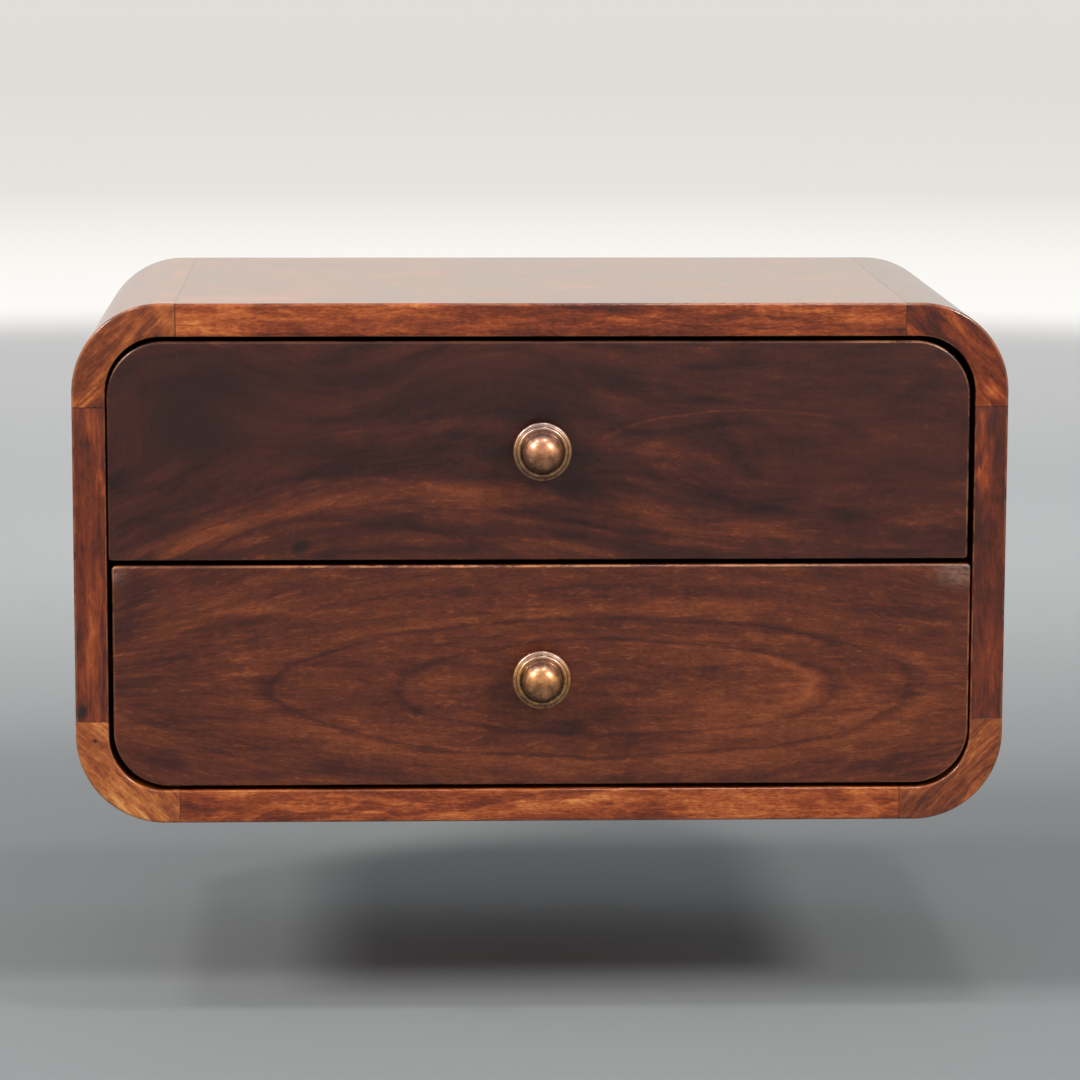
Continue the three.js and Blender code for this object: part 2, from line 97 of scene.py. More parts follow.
class Way(Enum):
    """A way out from the middle of the case: the word that node names use, and a sign on its axis."""

    @property
    def label(self) -> str:
        """The word that node names use."""
        return self.value[0]

    @property
    def sign(self) -> int:
        """The sign along the way's axis."""
        return self.value[1]


class Side(Way):
    """A side of the case, along X."""

    LEFT = ("left", -1)
    RIGHT = ("right", 1)


class Level(Way):
    """A level of the case, along Z."""

    TOP = ("top", 1)
    BOTTOM = ("bottom", -1)


class Grain(Enum):
    """The way that a piece's fibres run, as the turn that lays it along the pattern's X axis."""

    ACROSS = (0.0, 0.0, 0.0)
    UPRIGHT = (0.0, -math.pi / 2, 0.0)
    DEEP = (0.0, 0.0, math.pi / 2)
    RISING = (0.0, -math.pi / 4, 0.0)
    FALLING = (0.0, math.pi / 4, 0.0)


class Graph:
    """The node tree of one material, with a method for each kind of node that the finishes use."""

    def __init__(self, name: str) -> None:
        """Starts an empty material.

        Args:
            name: The material's name.
        """
        self.material = bpy.data.materials.new(name)
        self.material.use_nodes = True
        self.tree = self.material.node_tree
        self.tree.nodes.clear()
        self.object_place = self.add("ShaderNodeTexCoord").outputs["Object"]

    def add(self, kind: str, inputs: dict[str | int, Any] | None = None, **settings: Any) -> bpy.types.Node:
        """Adds a node, sets its options, and sets or links its inputs.

        Args:
            kind: Blender's name of the node type.
            inputs: A value or an output socket for each input, by its name or number.
            settings: The node's own options.

        Returns:
            The node.
        """
        node = self.tree.nodes.new(kind)
        for option, value in settings.items():
            setattr(node, option, value)
        for socket, value in (inputs or {}).items():
            if isinstance(value, Socket):
                self.tree.links.new(value, node.inputs[socket])
            else:
                node.inputs[socket].default_value = value
        return node

    def math(self, operation: str, *values: Socket | float, clamp: bool = False) -> Socket:
        """Works out one sum of up to three values."""
        inputs = dict(enumerate(values))
        return self.add("ShaderNodeMath", inputs, operation=operation, use_clamp=clamp).outputs[0]

    def times(self, first: Socket | float, second: Socket | float) -> Socket:
        """Multiplies two values."""
        return self.math("MULTIPLY", first, second)

    def plus(self, value: Socket | float, share: Socket | float, gain: Socket | float) -> Socket:
        """Adds share times gain to a value."""
        return self.math("MULTIPLY_ADD", share, gain, value)

    def clamped(self, value: Socket) -> Socket:
        """Keeps a value between 0 and 1."""
        return self.math("MULTIPLY", value, 1.0, clamp=True)

    def remap(self, value: Socket, low: float, high: float, start: float = 0.0, end: float = 1.0) -> Socket:
        """Turns low to high into start to end, smoothly and never past either."""
        inputs = {"Value": value, "From Min": low, "From Max": high, "To Min": start, "To Max": end}
        return self.add("ShaderNodeMapRange", inputs, interpolation_type="SMOOTHSTEP").outputs["Result"]

    def stopped(self, value: Socket, stops: Sequence[tuple[float, Sequence[float]]], pace: str) -> Socket:
        """Looks a value of 0 to 1 up among stops of linear colour.

        Args:
            value: The value.
            stops: Each stop's place and colour, in order.
            pace: How the colour goes from one stop to the next.

        Returns:
            The colour.
        """
        node = self.add("ShaderNodeValToRGB", {"Fac": value})
        node.color_ramp.interpolation = pace
        elements = node.color_ramp.elements
        while len(elements) < len(stops):
            elements.new(1.0)
        for element, (place, colour) in zip(elements, stops):
            element.position = place
            element.color = colour
        return node.outputs["Color"]

    def ramp(self, value: Socket, stops: Stops) -> Socket:
        """Turns a value of 0 to 1 into a colour."""
        return self.stopped(value, [(place, paint(colour)) for place, colour in stops], "LINEAR")

    def banded(self, value: Socket, bands: Bands) -> Socket:
        """Turns a value into a tone about zero.

        Args:
            value: The value, from 0 to the last band's place.
            bands: The (place, tone) of each band, in the value's own unit.

        Returns:
            The tone.
        """
        span = bands[-1][0]
        stops = [(place / span, (0.5 + tone,) * 3 + (1.0,)) for place, tone in bands]
        grey = self.stopped(self.math("DIVIDE", value, span), stops, "EASE")
        return self.math("SUBTRACT", grey, 0.5)

    def mix(self, share: Socket | float, first: Any, second: Any) -> Socket:
        """Mixes two colours."""
        return self.add("ShaderNodeMix", {0: share, 6: first, 7: second}, data_type="RGBA").outputs[2]

    def placed(self, place: Socket, centre: Sequence[float], turn: Sequence[float] = (0.0, 0.0, 0.0),
               unit: Sequence[float] = (1.0, 1.0, 1.0)) -> Socket:
        """Measures a place from a centre, on turned axes, in its own unit along each axis."""
        inputs = {"Vector": place, "Location": centre, "Rotation": turn, "Scale": unit}
        return self.add("ShaderNodeMapping", inputs, vector_type="TEXTURE").outputs["Vector"]

    def scaled(self, place: Socket, by: Sequence[float]) -> Socket:
        """Multiplies a place along each axis."""
        return self.add("ShaderNodeVectorMath", {0: place, 1: by}, operation="MULTIPLY").outputs[0]

    def on_front(self, place: Socket) -> Socket:
        """Drops a place's depth, which leaves its spot on the front."""
        return self.scaled(place, ON_FRONT)

    def stretched(self, place: Socket, unit: Sequence[float]) -> Socket:
        """Measures a place in another unit along each axis, given in millimetres."""
        return self.scaled(place, tuple(1 / (size * MM) for size in unit))

    def reach(self, place: Socket, axis: Sequence[float]) -> Socket:
        """How far a place lies along an axis."""
        inputs = {0: place, 1: axis}
        return self.add("ShaderNodeVectorMath", inputs, operation="DOT_PRODUCT").outputs["Value"]

    def noise(self, place: Socket, detail: float, roughness: float, sway: float) -> Socket:
        """Soft noise of about one lump to the unit, as a value about zero."""
        inputs = {"Vector": place, "Scale": 1.0, "Detail": detail, "Roughness": roughness, "Distortion": sway}
        return self.math("SUBTRACT", self.add("ShaderNodeTexNoise", inputs).outputs[0], 0.5)

    def lines(self, distance: Socket, spacing: float, detail: float = 2.0) -> Socket:
        """Uneven lines across a distance.

        Args:
            distance: The distance, in metres.
            spacing: About how far apart the lines are, in millimetres.
            detail: How much finer structure the lines have.

        Returns:
            A value about zero.
        """
        count = self.math("DIVIDE", distance, spacing * MM)
        inputs = {"W": count, "Scale": 1.0, "Detail": detail, "Roughness": 0.6}
        noise = self.add("ShaderNodeTexNoise", inputs, noise_dimensions="1D")
        return self.math("SUBTRACT", noise.outputs[0], 0.5)

    def axis(self, place: Socket, name: str) -> Socket:
        """One coordinate of a place."""
        return self.add("ShaderNodeSeparateXYZ", {0: place}).outputs[name]

    def length(self, place: Socket) -> Socket:
        """The distance of a place from its centre."""
        return self.add("ShaderNodeVectorMath", {0: place}, operation="LENGTH").outputs["Value"]

    def attribute(self, name: str) -> Socket:
        """A value that the mesh itself carries, or zero where it has none."""
        return self.add("ShaderNodeAttribute", attribute_name=name).outputs["Fac"]

    def facing(self, axis: Sequence[float]) -> Socket:
        """How squarely the surface faces along an axis, from 0 to 1."""
        normal = self.add("ShaderNodeNewGeometry").outputs["Normal"]
        return self.math("ABSOLUTE", self.reach(normal, axis))

    def bump(self, height: Socket, depth: float, strength: float = 1.0) -> Socket:
        """Turns a height of 0 to 1 into a bent normal, for a depth in millimetres."""
        inputs = {"Strength": strength, "Distance": depth * MM, "Height": height}
        return self.add("ShaderNodeBump", inputs).outputs["Normal"]

    def surface(self, inputs: dict[str | int, Any]) -> Material:
        """Ends the tree in one principled shader.

        Args:
            inputs: A value or an output socket for each of the shader's inputs.

        Returns:
            The finished material.
        """
        shader = self.add("ShaderNodeBsdfPrincipled", inputs)
        self.add("ShaderNodeOutputMaterial", {"Surface": shader.outputs[0]})
        return self.material


@dataclass(frozen=True)
class Lumps:
    """Soft noise with lumps of a size along each axis, in millimetres."""

    size: Triple
    detail: float
    roughness: float
    sway: float = 0.0

    def at(self, graph: Graph, place: Socket) -> Socket:
        """Gives the noise at a place, as a value about zero."""
        return graph.noise(graph.stretched(place, self.size), self.detail, self.roughness, self.sway)


@dataclass(frozen=True)
class Oval:
    """A soft oval on the front of a piece, in millimetres, that lifts or lowers the tone."""

    x: float
    z: float
    reach_x: float
    reach_z: float
    tone: float
    slope: float = 0.0

    def share(self, graph: Graph, place: Socket, inner: float = 0.15) -> Socket:
        """Gives 1 inside the oval, fading to 0 at its edge.

        Args:
            graph: The tree to add to.
            place: The place to measure, in metres.
            inner: The share of the reach that stays at 1.

        Returns:
            The share at each point.
        """
        centre, turn = (self.x * MM, 0.0, self.z * MM), (0.0, -math.radians(self.slope), 0.0)
        measured = graph.placed(place, centre, turn, (self.reach_x * MM, 1.0, self.reach_z * MM))
        return graph.remap(graph.length(graph.on_front(measured)), inner, 1.0, 1.0, 0.0)


@dataclass(frozen=True)
class Flow:
    """How the fibres of a face bend, in millimetres.

    They fall away on both sides of a crest, by a share of the square of the distance from it, and
    level off past the leg's length on the right. The arch dies out between two heights. A lens draws
    them together towards both ends. A swirl parts them round its middle, and a lean tilts them
    within its oval, each by its own tone.
    """

    crest: float
    middle: float
    arch: Span = (0.0, 0.0)
    leg: float = 400.0
    fade: Span = (50.0, 80.0)
    lens: float = 0.0
    reach: float = 200.0
    swirls: tuple[Oval, ...] = ()
    leans: tuple[Oval, ...] = ()
    crest_reach: float = 20.0
    levelling: float = 80.0

    def bent(self, graph: Graph) -> Socket:
        """Moves each place to where it would lie if the fibres ran straight.

        Args:
            graph: The tree to add to.

        Returns:
            The moved place.
        """
        place = graph.add("ShaderNodeSeparateXYZ", {0: graph.object_place}).outputs
        along = graph.math("SUBTRACT", place["X"], self.crest * MM)
        fallen = graph.math("SMOOTH_MIN", along, self.leg * MM, self.levelling * MM)
        square = graph.times(fallen, fallen)
        crest, (left, right) = self.crest_reach * MM, self.arch
        fall = graph.remap(along, -crest, crest, left / MM, right / MM)
        low, high = self.fade
        fall = graph.times(fall, graph.remap(place["Z"], low * MM, high * MM, 1.0, 0.0))
        height = graph.plus(place["Z"], square, fall)
        parted = [(oval, "Z", oval.z) for oval in self.swirls] + [(oval, "X", oval.x) for oval in self.leans]
        for oval, axis, middle in parted:
            away = graph.math("SUBTRACT", place[axis], middle * MM)
            share = graph.times(oval.share(graph, graph.object_place, 0.0), -oval.tone)
            height = graph.plus(height, away, share)
        spread = graph.math("MULTIPLY_ADD", square, -self.lens / (self.reach * MM) ** 2, 1.0)
        above = graph.math("DIVIDE", graph.math("SUBTRACT", height, self.middle * MM), spread)
        height = graph.math("ADD", above, self.middle * MM)
        return graph.add("ShaderNodeCombineXYZ", {0: place["X"], 1: place["Y"], 2: height}).outputs[0]


def masked(graph: Graph, tone: Socket, within: Oval | None) -> Socket:
    """Keeps a tone within an oval, or everywhere if there is none.

    Args:
        graph: The tree to add to.
        tone: The tone.
        within: The oval, whose inner half stays whole.

    Returns:
        The tone that is left.
    """
    if within is None:
        return tone
    return graph.times(tone, within.share(graph, graph.object_place, 0.55))


@dataclass(frozen=True)
class Figure:
    """Growth rings cut into nested ovals, with (multiple of the reach, tone) bands."""

    x: float
    z: float
    reach_x: float
    reach_z: float
    bands: Bands
    waver: float = 0.14
    within: Oval | None = None

    def tone(self, graph: Graph, bent: Socket, wander: Socket) -> Socket:
        """Gives the tone of the band that each point lies in.

        The distance from the oval's centre, in multiples of its reach, plus a little wander, is
        looked up in the bands, with the last band's place as the end of the scale.

        Args:
            graph: The tree to add to.
            bent: The place on straightened fibres, which a figure leaves alone.
            wander: The noise that the ovals waver with.

        Returns:
            The tone.
        """
        centre, reach = (self.x * MM, 0.0, self.z * MM), (self.reach_x * MM, 1.0, self.reach_z * MM)
        measured = graph.placed(graph.object_place, centre, unit=reach)
        distance = graph.plus(graph.length(graph.on_front(measured)), wander, self.waver)
        return masked(graph, graph.banded(distance, self.bands), self.within)


@dataclass(frozen=True)
class Stripes:
    """Lighter and darker stripes along the bent fibres, with (height, tone) bands in millimetres."""

    bands: Bands
    waver: float = 14.0
    within: Oval | None = None

    def tone(self, graph: Graph, bent: Socket, wander: Socket) -> Socket:
        """Gives the tone of the stripe that each point lies in."""
        height = graph.plus(graph.math("DIVIDE", graph.axis(bent, "Z"), MM), wander, self.waver)
        return masked(graph, graph.banded(height, self.bands), self.within)


# Noises of the woods, sized along the fibres and across them both ways.
WANDER = Lumps((60, 30, 20), 3.0, 0.55)
SLOW = Lumps((50, 16, 10), 2.0, 0.55, 0.6)
CLOUD = Lumps((13, 5, 3.4), 4.0, 0.6, 0.8)
STREAK = Lumps((20, 1.8, 1.5), 3.0, 0.6)
FLECK = Lumps((2.8, 0.8, 0.62), 2.0, 0.6, 0.3)
RIPPLE = Lumps((3.2, 20, 9), 2.0, 0.5, 0.4)
PORE = Lumps((4.2, 0.34, 0.3), 1.0, 0.5)
VENEER_SLOW = Lumps((190, 60, 60), 2.0, 0.5)
VENEER_STREAK = Lumps((34, 1.4, 1.4), 3.0, 0.6)
VENEER_PORE = Lumps((5.0, 0.4, 0.4), 1.0, 0.5)

# Noises of lacquer, wear, metal and paint, sized along X, Y and Z.
SWELL = Lumps((34, 34, 34), 1.0, 0.4)
HAZE = Lumps((3.0, 3.0, 1.2), 3.0, 0.65)
RUBBING = Lumps((16.0, 16.0, 9.0), 3.0, 0.6)
BRASS_CLOUD = Lumps((3.4, 3.4, 3.4), 3.0, 0.6)
BRASS_SPECK = Lumps((0.7, 0.7, 0.7), 2.0, 0.6)
STEEL_CLOUD = Lumps((5.0, 5.0, 5.0), 3.0, 0.6)
STEEL_SCRATCH = Lumps((9.0, 0.2, 0.5), 2.0, 0.6)
PAINT_CLOUD = Lumps((900, 900, 900), 2.0, 0.5)

KNOT = paint((26, 17, 15))
BLOOM = paint((132, 116, 106))
JOINT = paint((38, 20, 14))
WARM_BRASS = paint((156, 102, 70))
DULL_ZINC = paint((70, 68, 64))
ZINC_TONES: Stops = ((0.0, (132, 130, 122)), (0.5, (176, 176, 172)), (1.0, (204, 206, 206)))
PLY_TONES: Stops = ((0.0, (112, 78, 48)), (0.5, (160, 120, 80)), (1.0, (206, 170, 122)))
CASE_TONES: Stops = (
    (0.0, (48, 20, 12)),
    (0.18, (72, 27, 14)),
    (0.4, (104, 41, 16)),
    (0.6, (138, 62, 25)),
    (0.8, (174, 92, 42)),
    (1.0, (208, 134, 74)),
)
BLOCK_TONES: Stops = (
    (0.0, (50, 24, 14)),
    (0.18, (74, 32, 17)),
    (0.4, (104, 47, 21)),
    (0.6, (138, 69, 30)),
    (0.8, (174, 100, 48)),
    (1.0, (208, 141, 80)),
)
FRONT_TONES: Stops = (
    (0.0, (28, 14, 13)),
    (0.2, (44, 19, 17)),
    (0.42, (67, 30, 22)),
    (0.6, (92, 43, 26)),
    (0.8, (121, 61, 33)),
    (1.0, (152, 84, 48)),
)
BOX_TONES: Stops = (
    (0.0, (92, 60, 38)),
    (0.3, (136, 95, 60)),
    (0.6, (172, 127, 84)),
    (0.85, (196, 152, 106)),
    (1.0, (214, 176, 130)),
)
PALE_TONES: Stops = (
    (0.0, (132, 96, 60)),
    (0.35, (172, 132, 88)),
    (0.65, (198, 160, 114)),
    (1.0, (222, 190, 146)),
)


@dataclass(frozen=True)
class Timber:
    """Solid wood under a finish, with fibres, flecks, pores, growth rings, knots and worn arrises, some of
    them partly painted highlights.

    The growth rings are cones about the heart of the log, whose axis runs along the fibres. The heart
    is a place across the fibres, in millimetres. Ovals and knots die out behind the piece's front, and
    some of them are partly painted shade round the knobs. A calm oval evens out the figure by the share
    that its tone gives, and end grain is darker.
    """

    name: str
    grain: Grain
    tones: Stops
    tone: float = 0.5
    shift: Triple = (0.0, 0.0, 0.0)
    mottle: float = 0.7
    clouds: float = 0.35
    streaks: float = 0.6
    flecks: float = 0.45
    ripple: float = 0.15
    rings: float = 0.35
    heart: Span = (-125.0, -60.0)
    pores: float = 0.2
    sparks: float = 0.3
    spark: Colour = (180, 100, 46)
    flow: Flow | None = None
    figures: tuple[Figure | Stripes, ...] = ()
    calm: tuple[Oval, ...] = ()
    ovals: tuple[Oval, ...] = ()
    knots: tuple[Oval, ...] = ()
    bloom: tuple[Oval, ...] = ()
    end_grain: float = 0.16
    worn: Colour = (172, 112, 70)
    wear: float = 0.3
    seam: float = 0.5
    # Ovals that add worn colour to the arrises: partly wear, partly painted highlight where lamps catch them.
    rubs: tuple[Oval, ...] = ()
    gloss: float = 1.0
    rubbed: float = 0.0
    roughness: float = 0.16

    RING_SPACING: ClassVar[float] = 3.6
    RING_TAPER: ClassVar[float] = 0.04
    RING_WANDER: ClassVar[float] = 0.022
    DRIFT: ClassVar[Triple] = (0.03, 0.0, 0.02)
    FRONT_FADE: ClassVar[Span] = (-0.244, -0.17)
    OPEN_PORE: ClassVar[Span] = (0.13, 0.24)
    END_ON: ClassVar[Span] = (0.72, 0.95)
    SPARK_LUMPS: ClassVar[Span] = (0.05, 0.3)
    SPARK_TONES: ClassVar[Span] = (0.4, 0.72)

    def material(self) -> Material:
        """Makes the material.

        Returns:
            The finished material.
        """
        graph = Graph(self.name)
        bent = self.flow.bent(graph) if self.flow else graph.object_place
        fibre = graph.placed(bent, tuple(value * MM for value in self.shift), self.grain.value)
        slow, cloud, streak, fleck = (lumps.at(graph, fibre) for lumps in (SLOW, CLOUD, STREAK, FLECK))
        wander = WANDER.at(graph, fibre)
        ragged = graph.plus(wander, streak, 0.25)
        opened = graph.remap(PORE.at(graph, fibre), *self.OPEN_PORE)
        drift = graph.scaled(ragged, self.DRIFT)
        drifted = graph.add("ShaderNodeVectorMath", {0: graph.object_place, 1: drift}).outputs[0]
        front = graph.remap(graph.axis(graph.object_place, "Y"), *self.FRONT_FADE, 1.0, 0.0)

        tone = graph.plus(self.tone, slow, self.mottle)
        tone = graph.plus(tone, self.growth(graph, fibre, wander), self.rings)
        tone = graph.plus(tone, cloud, self.clouds)
        tone = graph.plus(tone, streak, self.streaks)
        tone = graph.plus(tone, fleck, self.flecks)
        tone = graph.plus(tone, RIPPLE.at(graph, fibre), self.ripple)
        for figure in self.figures:
            tone = graph.math("ADD", tone, figure.tone(graph, bent, ragged))
        for oval in self.calm:
            share = graph.times(graph.times(oval.share(graph, drifted), front), oval.tone)
            tone = graph.plus(tone, graph.math("SUBTRACT", self.tone, tone), share)
        for oval in self.ovals:
            tone = graph.plus(tone, graph.times(oval.share(graph, drifted), front), oval.tone)
        tone = graph.plus(tone, opened, -self.pores)
        tone = graph.plus(tone, graph.remap(graph.facing(self.fibre_axis()), *self.END_ON), -self.end_grain)

        colour = graph.ramp(graph.clamped(tone), self.tones)
        spark = graph.times(graph.remap(graph.plus(cloud, fleck, 0.5), *self.SPARK_LUMPS), self.sparks)
        spark = graph.times(spark, graph.remap(tone, *self.SPARK_TONES))
        colour = graph.mix(spark, colour, paint(self.spark))
        for knot in self.knots:
            share = graph.times(knot.share(graph, drifted, 0.35), front)
            colour = graph.mix(graph.times(share, knot.tone), colour, KNOT)

        relief = graph.plus(graph.times(streak, 0.5), opened, -0.6)
        lacquer = graph.plus(self.gloss, graph.facing(ALONG_Y), -self.rubbed)
        return graph.surface({
            "Base Color": self.aged(graph, colour, fleck),
            "Roughness": graph.plus(0.42, slow, 0.3),
            "Specular IOR Level": 0.1,
            "Coat Weight": graph.math("ADD", graph.attribute("arris"), lacquer, clamp=True),
            "Coat Roughness": self.roughness,
            "Coat IOR": 1.5,
            "Normal": graph.bump(relief, 0.05, 0.6),
            "Coat Normal": graph.bump(SWELL.at(graph, graph.object_place), 0.12, 0.5),
        })

    def growth(self, graph: Graph, fibre: Socket, wander: Socket) -> Socket:
        """Draws the growth rings, as lines across the distance from the heart of the log.

        Args:
            graph: The tree to add to.
            fibre: The place along the fibres and across them.
            wander: The noise that the rings wander with.

        Returns:
            The rings' tone, about zero.
        """
        log_place = graph.placed(fibre, (0.0, self.heart[0] * MM, self.heart[1] * MM))
        radius = graph.length(graph.scaled(log_place, (0.0, 1.0, 1.0)))
        radius = graph.plus(radius, graph.axis(log_place, "X"), self.RING_TAPER)
        return graph.lines(graph.plus(radius, wander, self.RING_WANDER), self.RING_SPACING)

    def aged(self, graph: Graph, colour: Socket, fleck: Socket) -> Socket:
        """Lays bloom, worn arrises, painted highlights on some arrises and dark joint lines over the wood.

        Args:
            graph: The tree to add to.
            colour: The wood's colour.
            fleck: Fine noise along the fibres.

        Returns:
            The colour with its wear.
        """
        place = graph.object_place
        haze = graph.remap(HAZE.at(graph, place), -0.2, 0.15)
        haze = graph.times(haze, graph.remap(graph.facing(ALONG_Y), 0.5, 0.9))
        for patch in self.bloom:
            share = graph.times(graph.times(patch.share(graph, place, 0.05), patch.tone), haze)
            colour = graph.mix(share, colour, BLOOM)
        amount = self.wear
        # More worn colour within the rub ovals, partly a painted highlight on the arrises.
        for rub_and_highlight in self.rubs:
            amount = graph.plus(amount, rub_and_highlight.share(graph, place, 0.6), rub_and_highlight.tone)
        worn = graph.times(graph.remap(graph.attribute("arris"), 0.1, 0.6), amount)
        rubbing = graph.plus(RUBBING.at(graph, place), fleck, 0.5)
        worn = graph.times(worn, graph.remap(rubbing, -0.16, 0.1))
        colour = graph.mix(graph.clamped(worn), colour, paint(self.worn))
        return graph.mix(graph.times(graph.attribute("joint"), self.seam), colour, JOINT)

    def fibre_axis(self) -> Triple:
        """The direction of the fibres in the object's own axes."""
        turn = Matrix.Rotation(self.grain.value[1], 3, "Y") @ Matrix.Rotation(self.grain.value[2], 3, "Z")
        return tuple(turn @ Vector((1.0, 0.0, 0.0)))


@dataclass(frozen=True)
class Plywood:
    """Veneered board: a plain face veneer, and stripes of crossed veneers on every edge."""

    name: str
    grain: Grain
    normal: Triple
    plies: float
    shift: Triple = (13.0, 21.0, 17.0)
    growth: float = 3.2

    def material(self) -> Material:
        """Makes the material. Plies are counted along the board's thickness, in millimetres each.

        Returns:
            The finished material.
        """
        graph = Graph(self.name)
        fibre = graph.placed(graph.object_place, tuple(value * MM for value in self.shift), self.grain.value)
        slow, streak = VENEER_SLOW.at(graph, fibre), VENEER_STREAK.at(graph, fibre)
        opened = graph.remap(VENEER_PORE.at(graph, fibre), 0.12, 0.22)
        across = graph.math("ADD", graph.axis(fibre, "Y"), graph.axis(fibre, "Z"))
        tone = graph.plus(graph.plus(graph.plus(0.55, slow, 0.3), streak, 0.45), opened, -0.3)
        tone = graph.plus(tone, graph.lines(graph.plus(across, slow, 0.1), self.growth), 0.62)
        face = graph.ramp(graph.clamped(tone), PALE_TONES)

        depth = graph.math("DIVIDE", graph.reach(graph.object_place, self.normal), self.plies * MM)
        layer = graph.remap(graph.math("PINGPONG", depth, 1.0), 0.35, 0.65)
        edge = graph.ramp(graph.plus(layer, streak, 0.5), PLY_TONES)
        square = graph.remap(graph.facing(self.normal), 0.5, 0.8)
        return graph.surface({
            "Base Color": graph.mix(square, edge, face),
            "Roughness": graph.plus(0.62, slow, 0.3),
            "Specular IOR Level": 0.3,
            "Normal": graph.bump(graph.plus(streak, opened, -0.5), 0.05, 0.6),
        })


@dataclass(frozen=True)
class AgedBrass:
    """Turned brass, rubbed bright on its crowns and dark with age in its grooves, with a painted pale
    reflection on its upper part and painted shade on its lower half.
    """

    name: str
    axis_x: float
    axis_z: float
    crown: Colour = (196, 138, 106)
    ring: Colour = (170, 138, 110)
    # Painted reflection: a pale lavender grey that the knob's upper part is mixed towards, standing in for
    # the pale ceiling it reflects.
    haze: Colour = (136, 128, 136)
    # Colour of the patina in the grooves, also used for the painted shade on the knob's lower half.
    aged: Colour = (72, 52, 38)
    dome_edge: Span = (8.8, 10.4)
    turning: float = 0.35

    def material(self) -> Material:
        """Makes the material, with turning marks round the knob's own axis.

        Returns:
            The finished material.
        """
        graph = Graph(self.name)
        local = graph.placed(graph.object_place, (self.axis_x * MM, 0.0, self.axis_z * MM))
        radius = graph.length(graph.on_front(local))
        height = graph.axis(local, "Z")
        marks = graph.lines(radius, self.turning, 1.0)
        cloud, speck = BRASS_CLOUD.at(graph, local), BRASS_SPECK.at(graph, local)

        inner, outer = self.dome_edge
        onward = graph.remap(radius, inner * MM, outer * MM)
        metal = graph.mix(onward, paint(self.crown), paint(self.ring))
        metal = graph.mix(graph.remap(cloud, -0.12, 0.2), metal, WARM_BRASS)
        # Painted reflection: the upper part of the knob turns towards the pale grey, as if it reflected the
        # pale ceiling.
        metal = graph.mix(graph.remap(height, 0.003, 0.012, 0.0, 0.5), metal, paint(self.haze))
        # Patina in the grooves fades towards the top of the knob: real patina, kept lighter on top as painted
        # light.
        depth = graph.times(graph.attribute("recess"), graph.remap(height, 0.0, 0.009, 1.0, 0.55))
        patina_and_painted_shade = graph.plus(graph.plus(depth, cloud, 0.8), speck, 0.45)
        # Painted shade: the lower half of the knob is darkened, standing in for the dark floor that it
        # reflects.
        patina_and_painted_shade = graph.plus(patina_and_painted_shade, graph.remap(height, 0.0015, -0.008), 0.24)
        patina_and_painted_shade = graph.remap(patina_and_painted_shade, 0.3, 0.95)
        return graph.surface({
            "Base Color": graph.mix(patina_and_painted_shade, metal, paint(self.aged)),
            "Metallic": graph.remap(patina_and_painted_shade, 0.0, 1.0, 1.0, 0.55),
            "Roughness": graph.plus(graph.plus(0.37, patina_and_painted_shade, 0.2), cloud, 0.12),
            "Coat Weight": 0.6,
            "Coat Roughness": 0.14,
            "Normal": graph.bump(graph.plus(marks, cloud, 0.6), 0.02, 0.35),
        })


@dataclass(frozen=True)
class ZincSteel:
    """Zinc-plated steel, faintly clouded, with fine scratches and duller recesses."""

    name: str

    def material(self) -> Material:
        """Makes the material.

        Returns:
            The finished material.
        """
        graph = Graph(self.name)
        cloud = STEEL_CLOUD.at(graph, graph.object_place)
        scratch = STEEL_SCRATCH.at(graph, graph.object_place)
        plated = graph.ramp(graph.plus(graph.plus(0.5, cloud, 0.8), scratch, 0.25), ZINC_TONES)
        dull = graph.remap(graph.attribute("recess"), 0.2, 1.0)
        return graph.surface({
            "Base Color": graph.mix(dull, plated, DULL_ZINC),
            "Metallic": 1.0,
            "Roughness": graph.plus(graph.plus(0.3, cloud, 0.3), dull, 0.25),
            "Normal": graph.bump(scratch, 0.01, 0.4),
        })


def filleted(
    corners: Sequence[Span],
    radii: Sequence[float],
    steps: Sequence[int],
    side_steps: int,
    apron: float = 0.0,
) -> tuple[np.ndarray, np.ndarray]:
    """Rounds the corners of a closed outline.

    At each corner the arc about its fillet's centre runs between the two tangent points, at equal
    angles. An apron point lies a little way along each side, and side steps divide what is left.

    Args:
        corners: The outline's corners in order, in millimetres.
        radii: Each corner's rounding.
        steps: Each corner's number of chords.
        side_steps: How many equal steps each side is divided into.
        apron: How far past the arc the two apron points lie, or 0 for none.

    Returns:
        The points in order, and a value that rises to 1 in the middle of each arc and is 0 elsewhere.
    """
    points = np.asarray(corners, float)
    arcs, bells = [], []
    for index, corner in enumerate(points):
        before = points[index - 1] - corner
        after = points[(index + 1) % len(points)] - corner
        before, after = before / np.linalg.norm(before), after / np.linalg.norm(after)
        half = math.acos(float(np.clip(before @ after, -1.0, 1.0))) / 2
        reach = radii[index] / math.tan(half)
        middle = (before + after) / np.linalg.norm(before + after)
        centre = corner + middle * radii[index] / math.sin(half)
        start, end = corner + before * reach, corner + after * reach
        share = np.linspace(0.0, 1.0, steps[index] + 1)[:, None]
        turn = math.pi - 2 * half
        first, last = start - centre, end - centre
        arc = centre + (first * np.sin((1 - share) * turn) + last * np.sin(share * turn)) / math.sin(turn)
        bell = np.sin(math.pi * share[:, 0])
        if apron:
            arc = np.vstack([start + before * apron, arc, end + after * apron])
            bell = np.pad(bell, 1)
        arcs.append(arc)
        bells.append(bell)
    share = np.linspace(0.0, 1.0, side_steps + 1)[1:-1, None]
    pieces, flags = [], []
    for arc, bell, following in zip(arcs, bells, arcs[1:] + arcs[:1]):
        pieces += [arc, arc[-1] + (following[0] - arc[-1]) * share]
        flags += [bell, np.zeros(len(share))]
    return np.vstack(pieces), np.concatenate(flags)


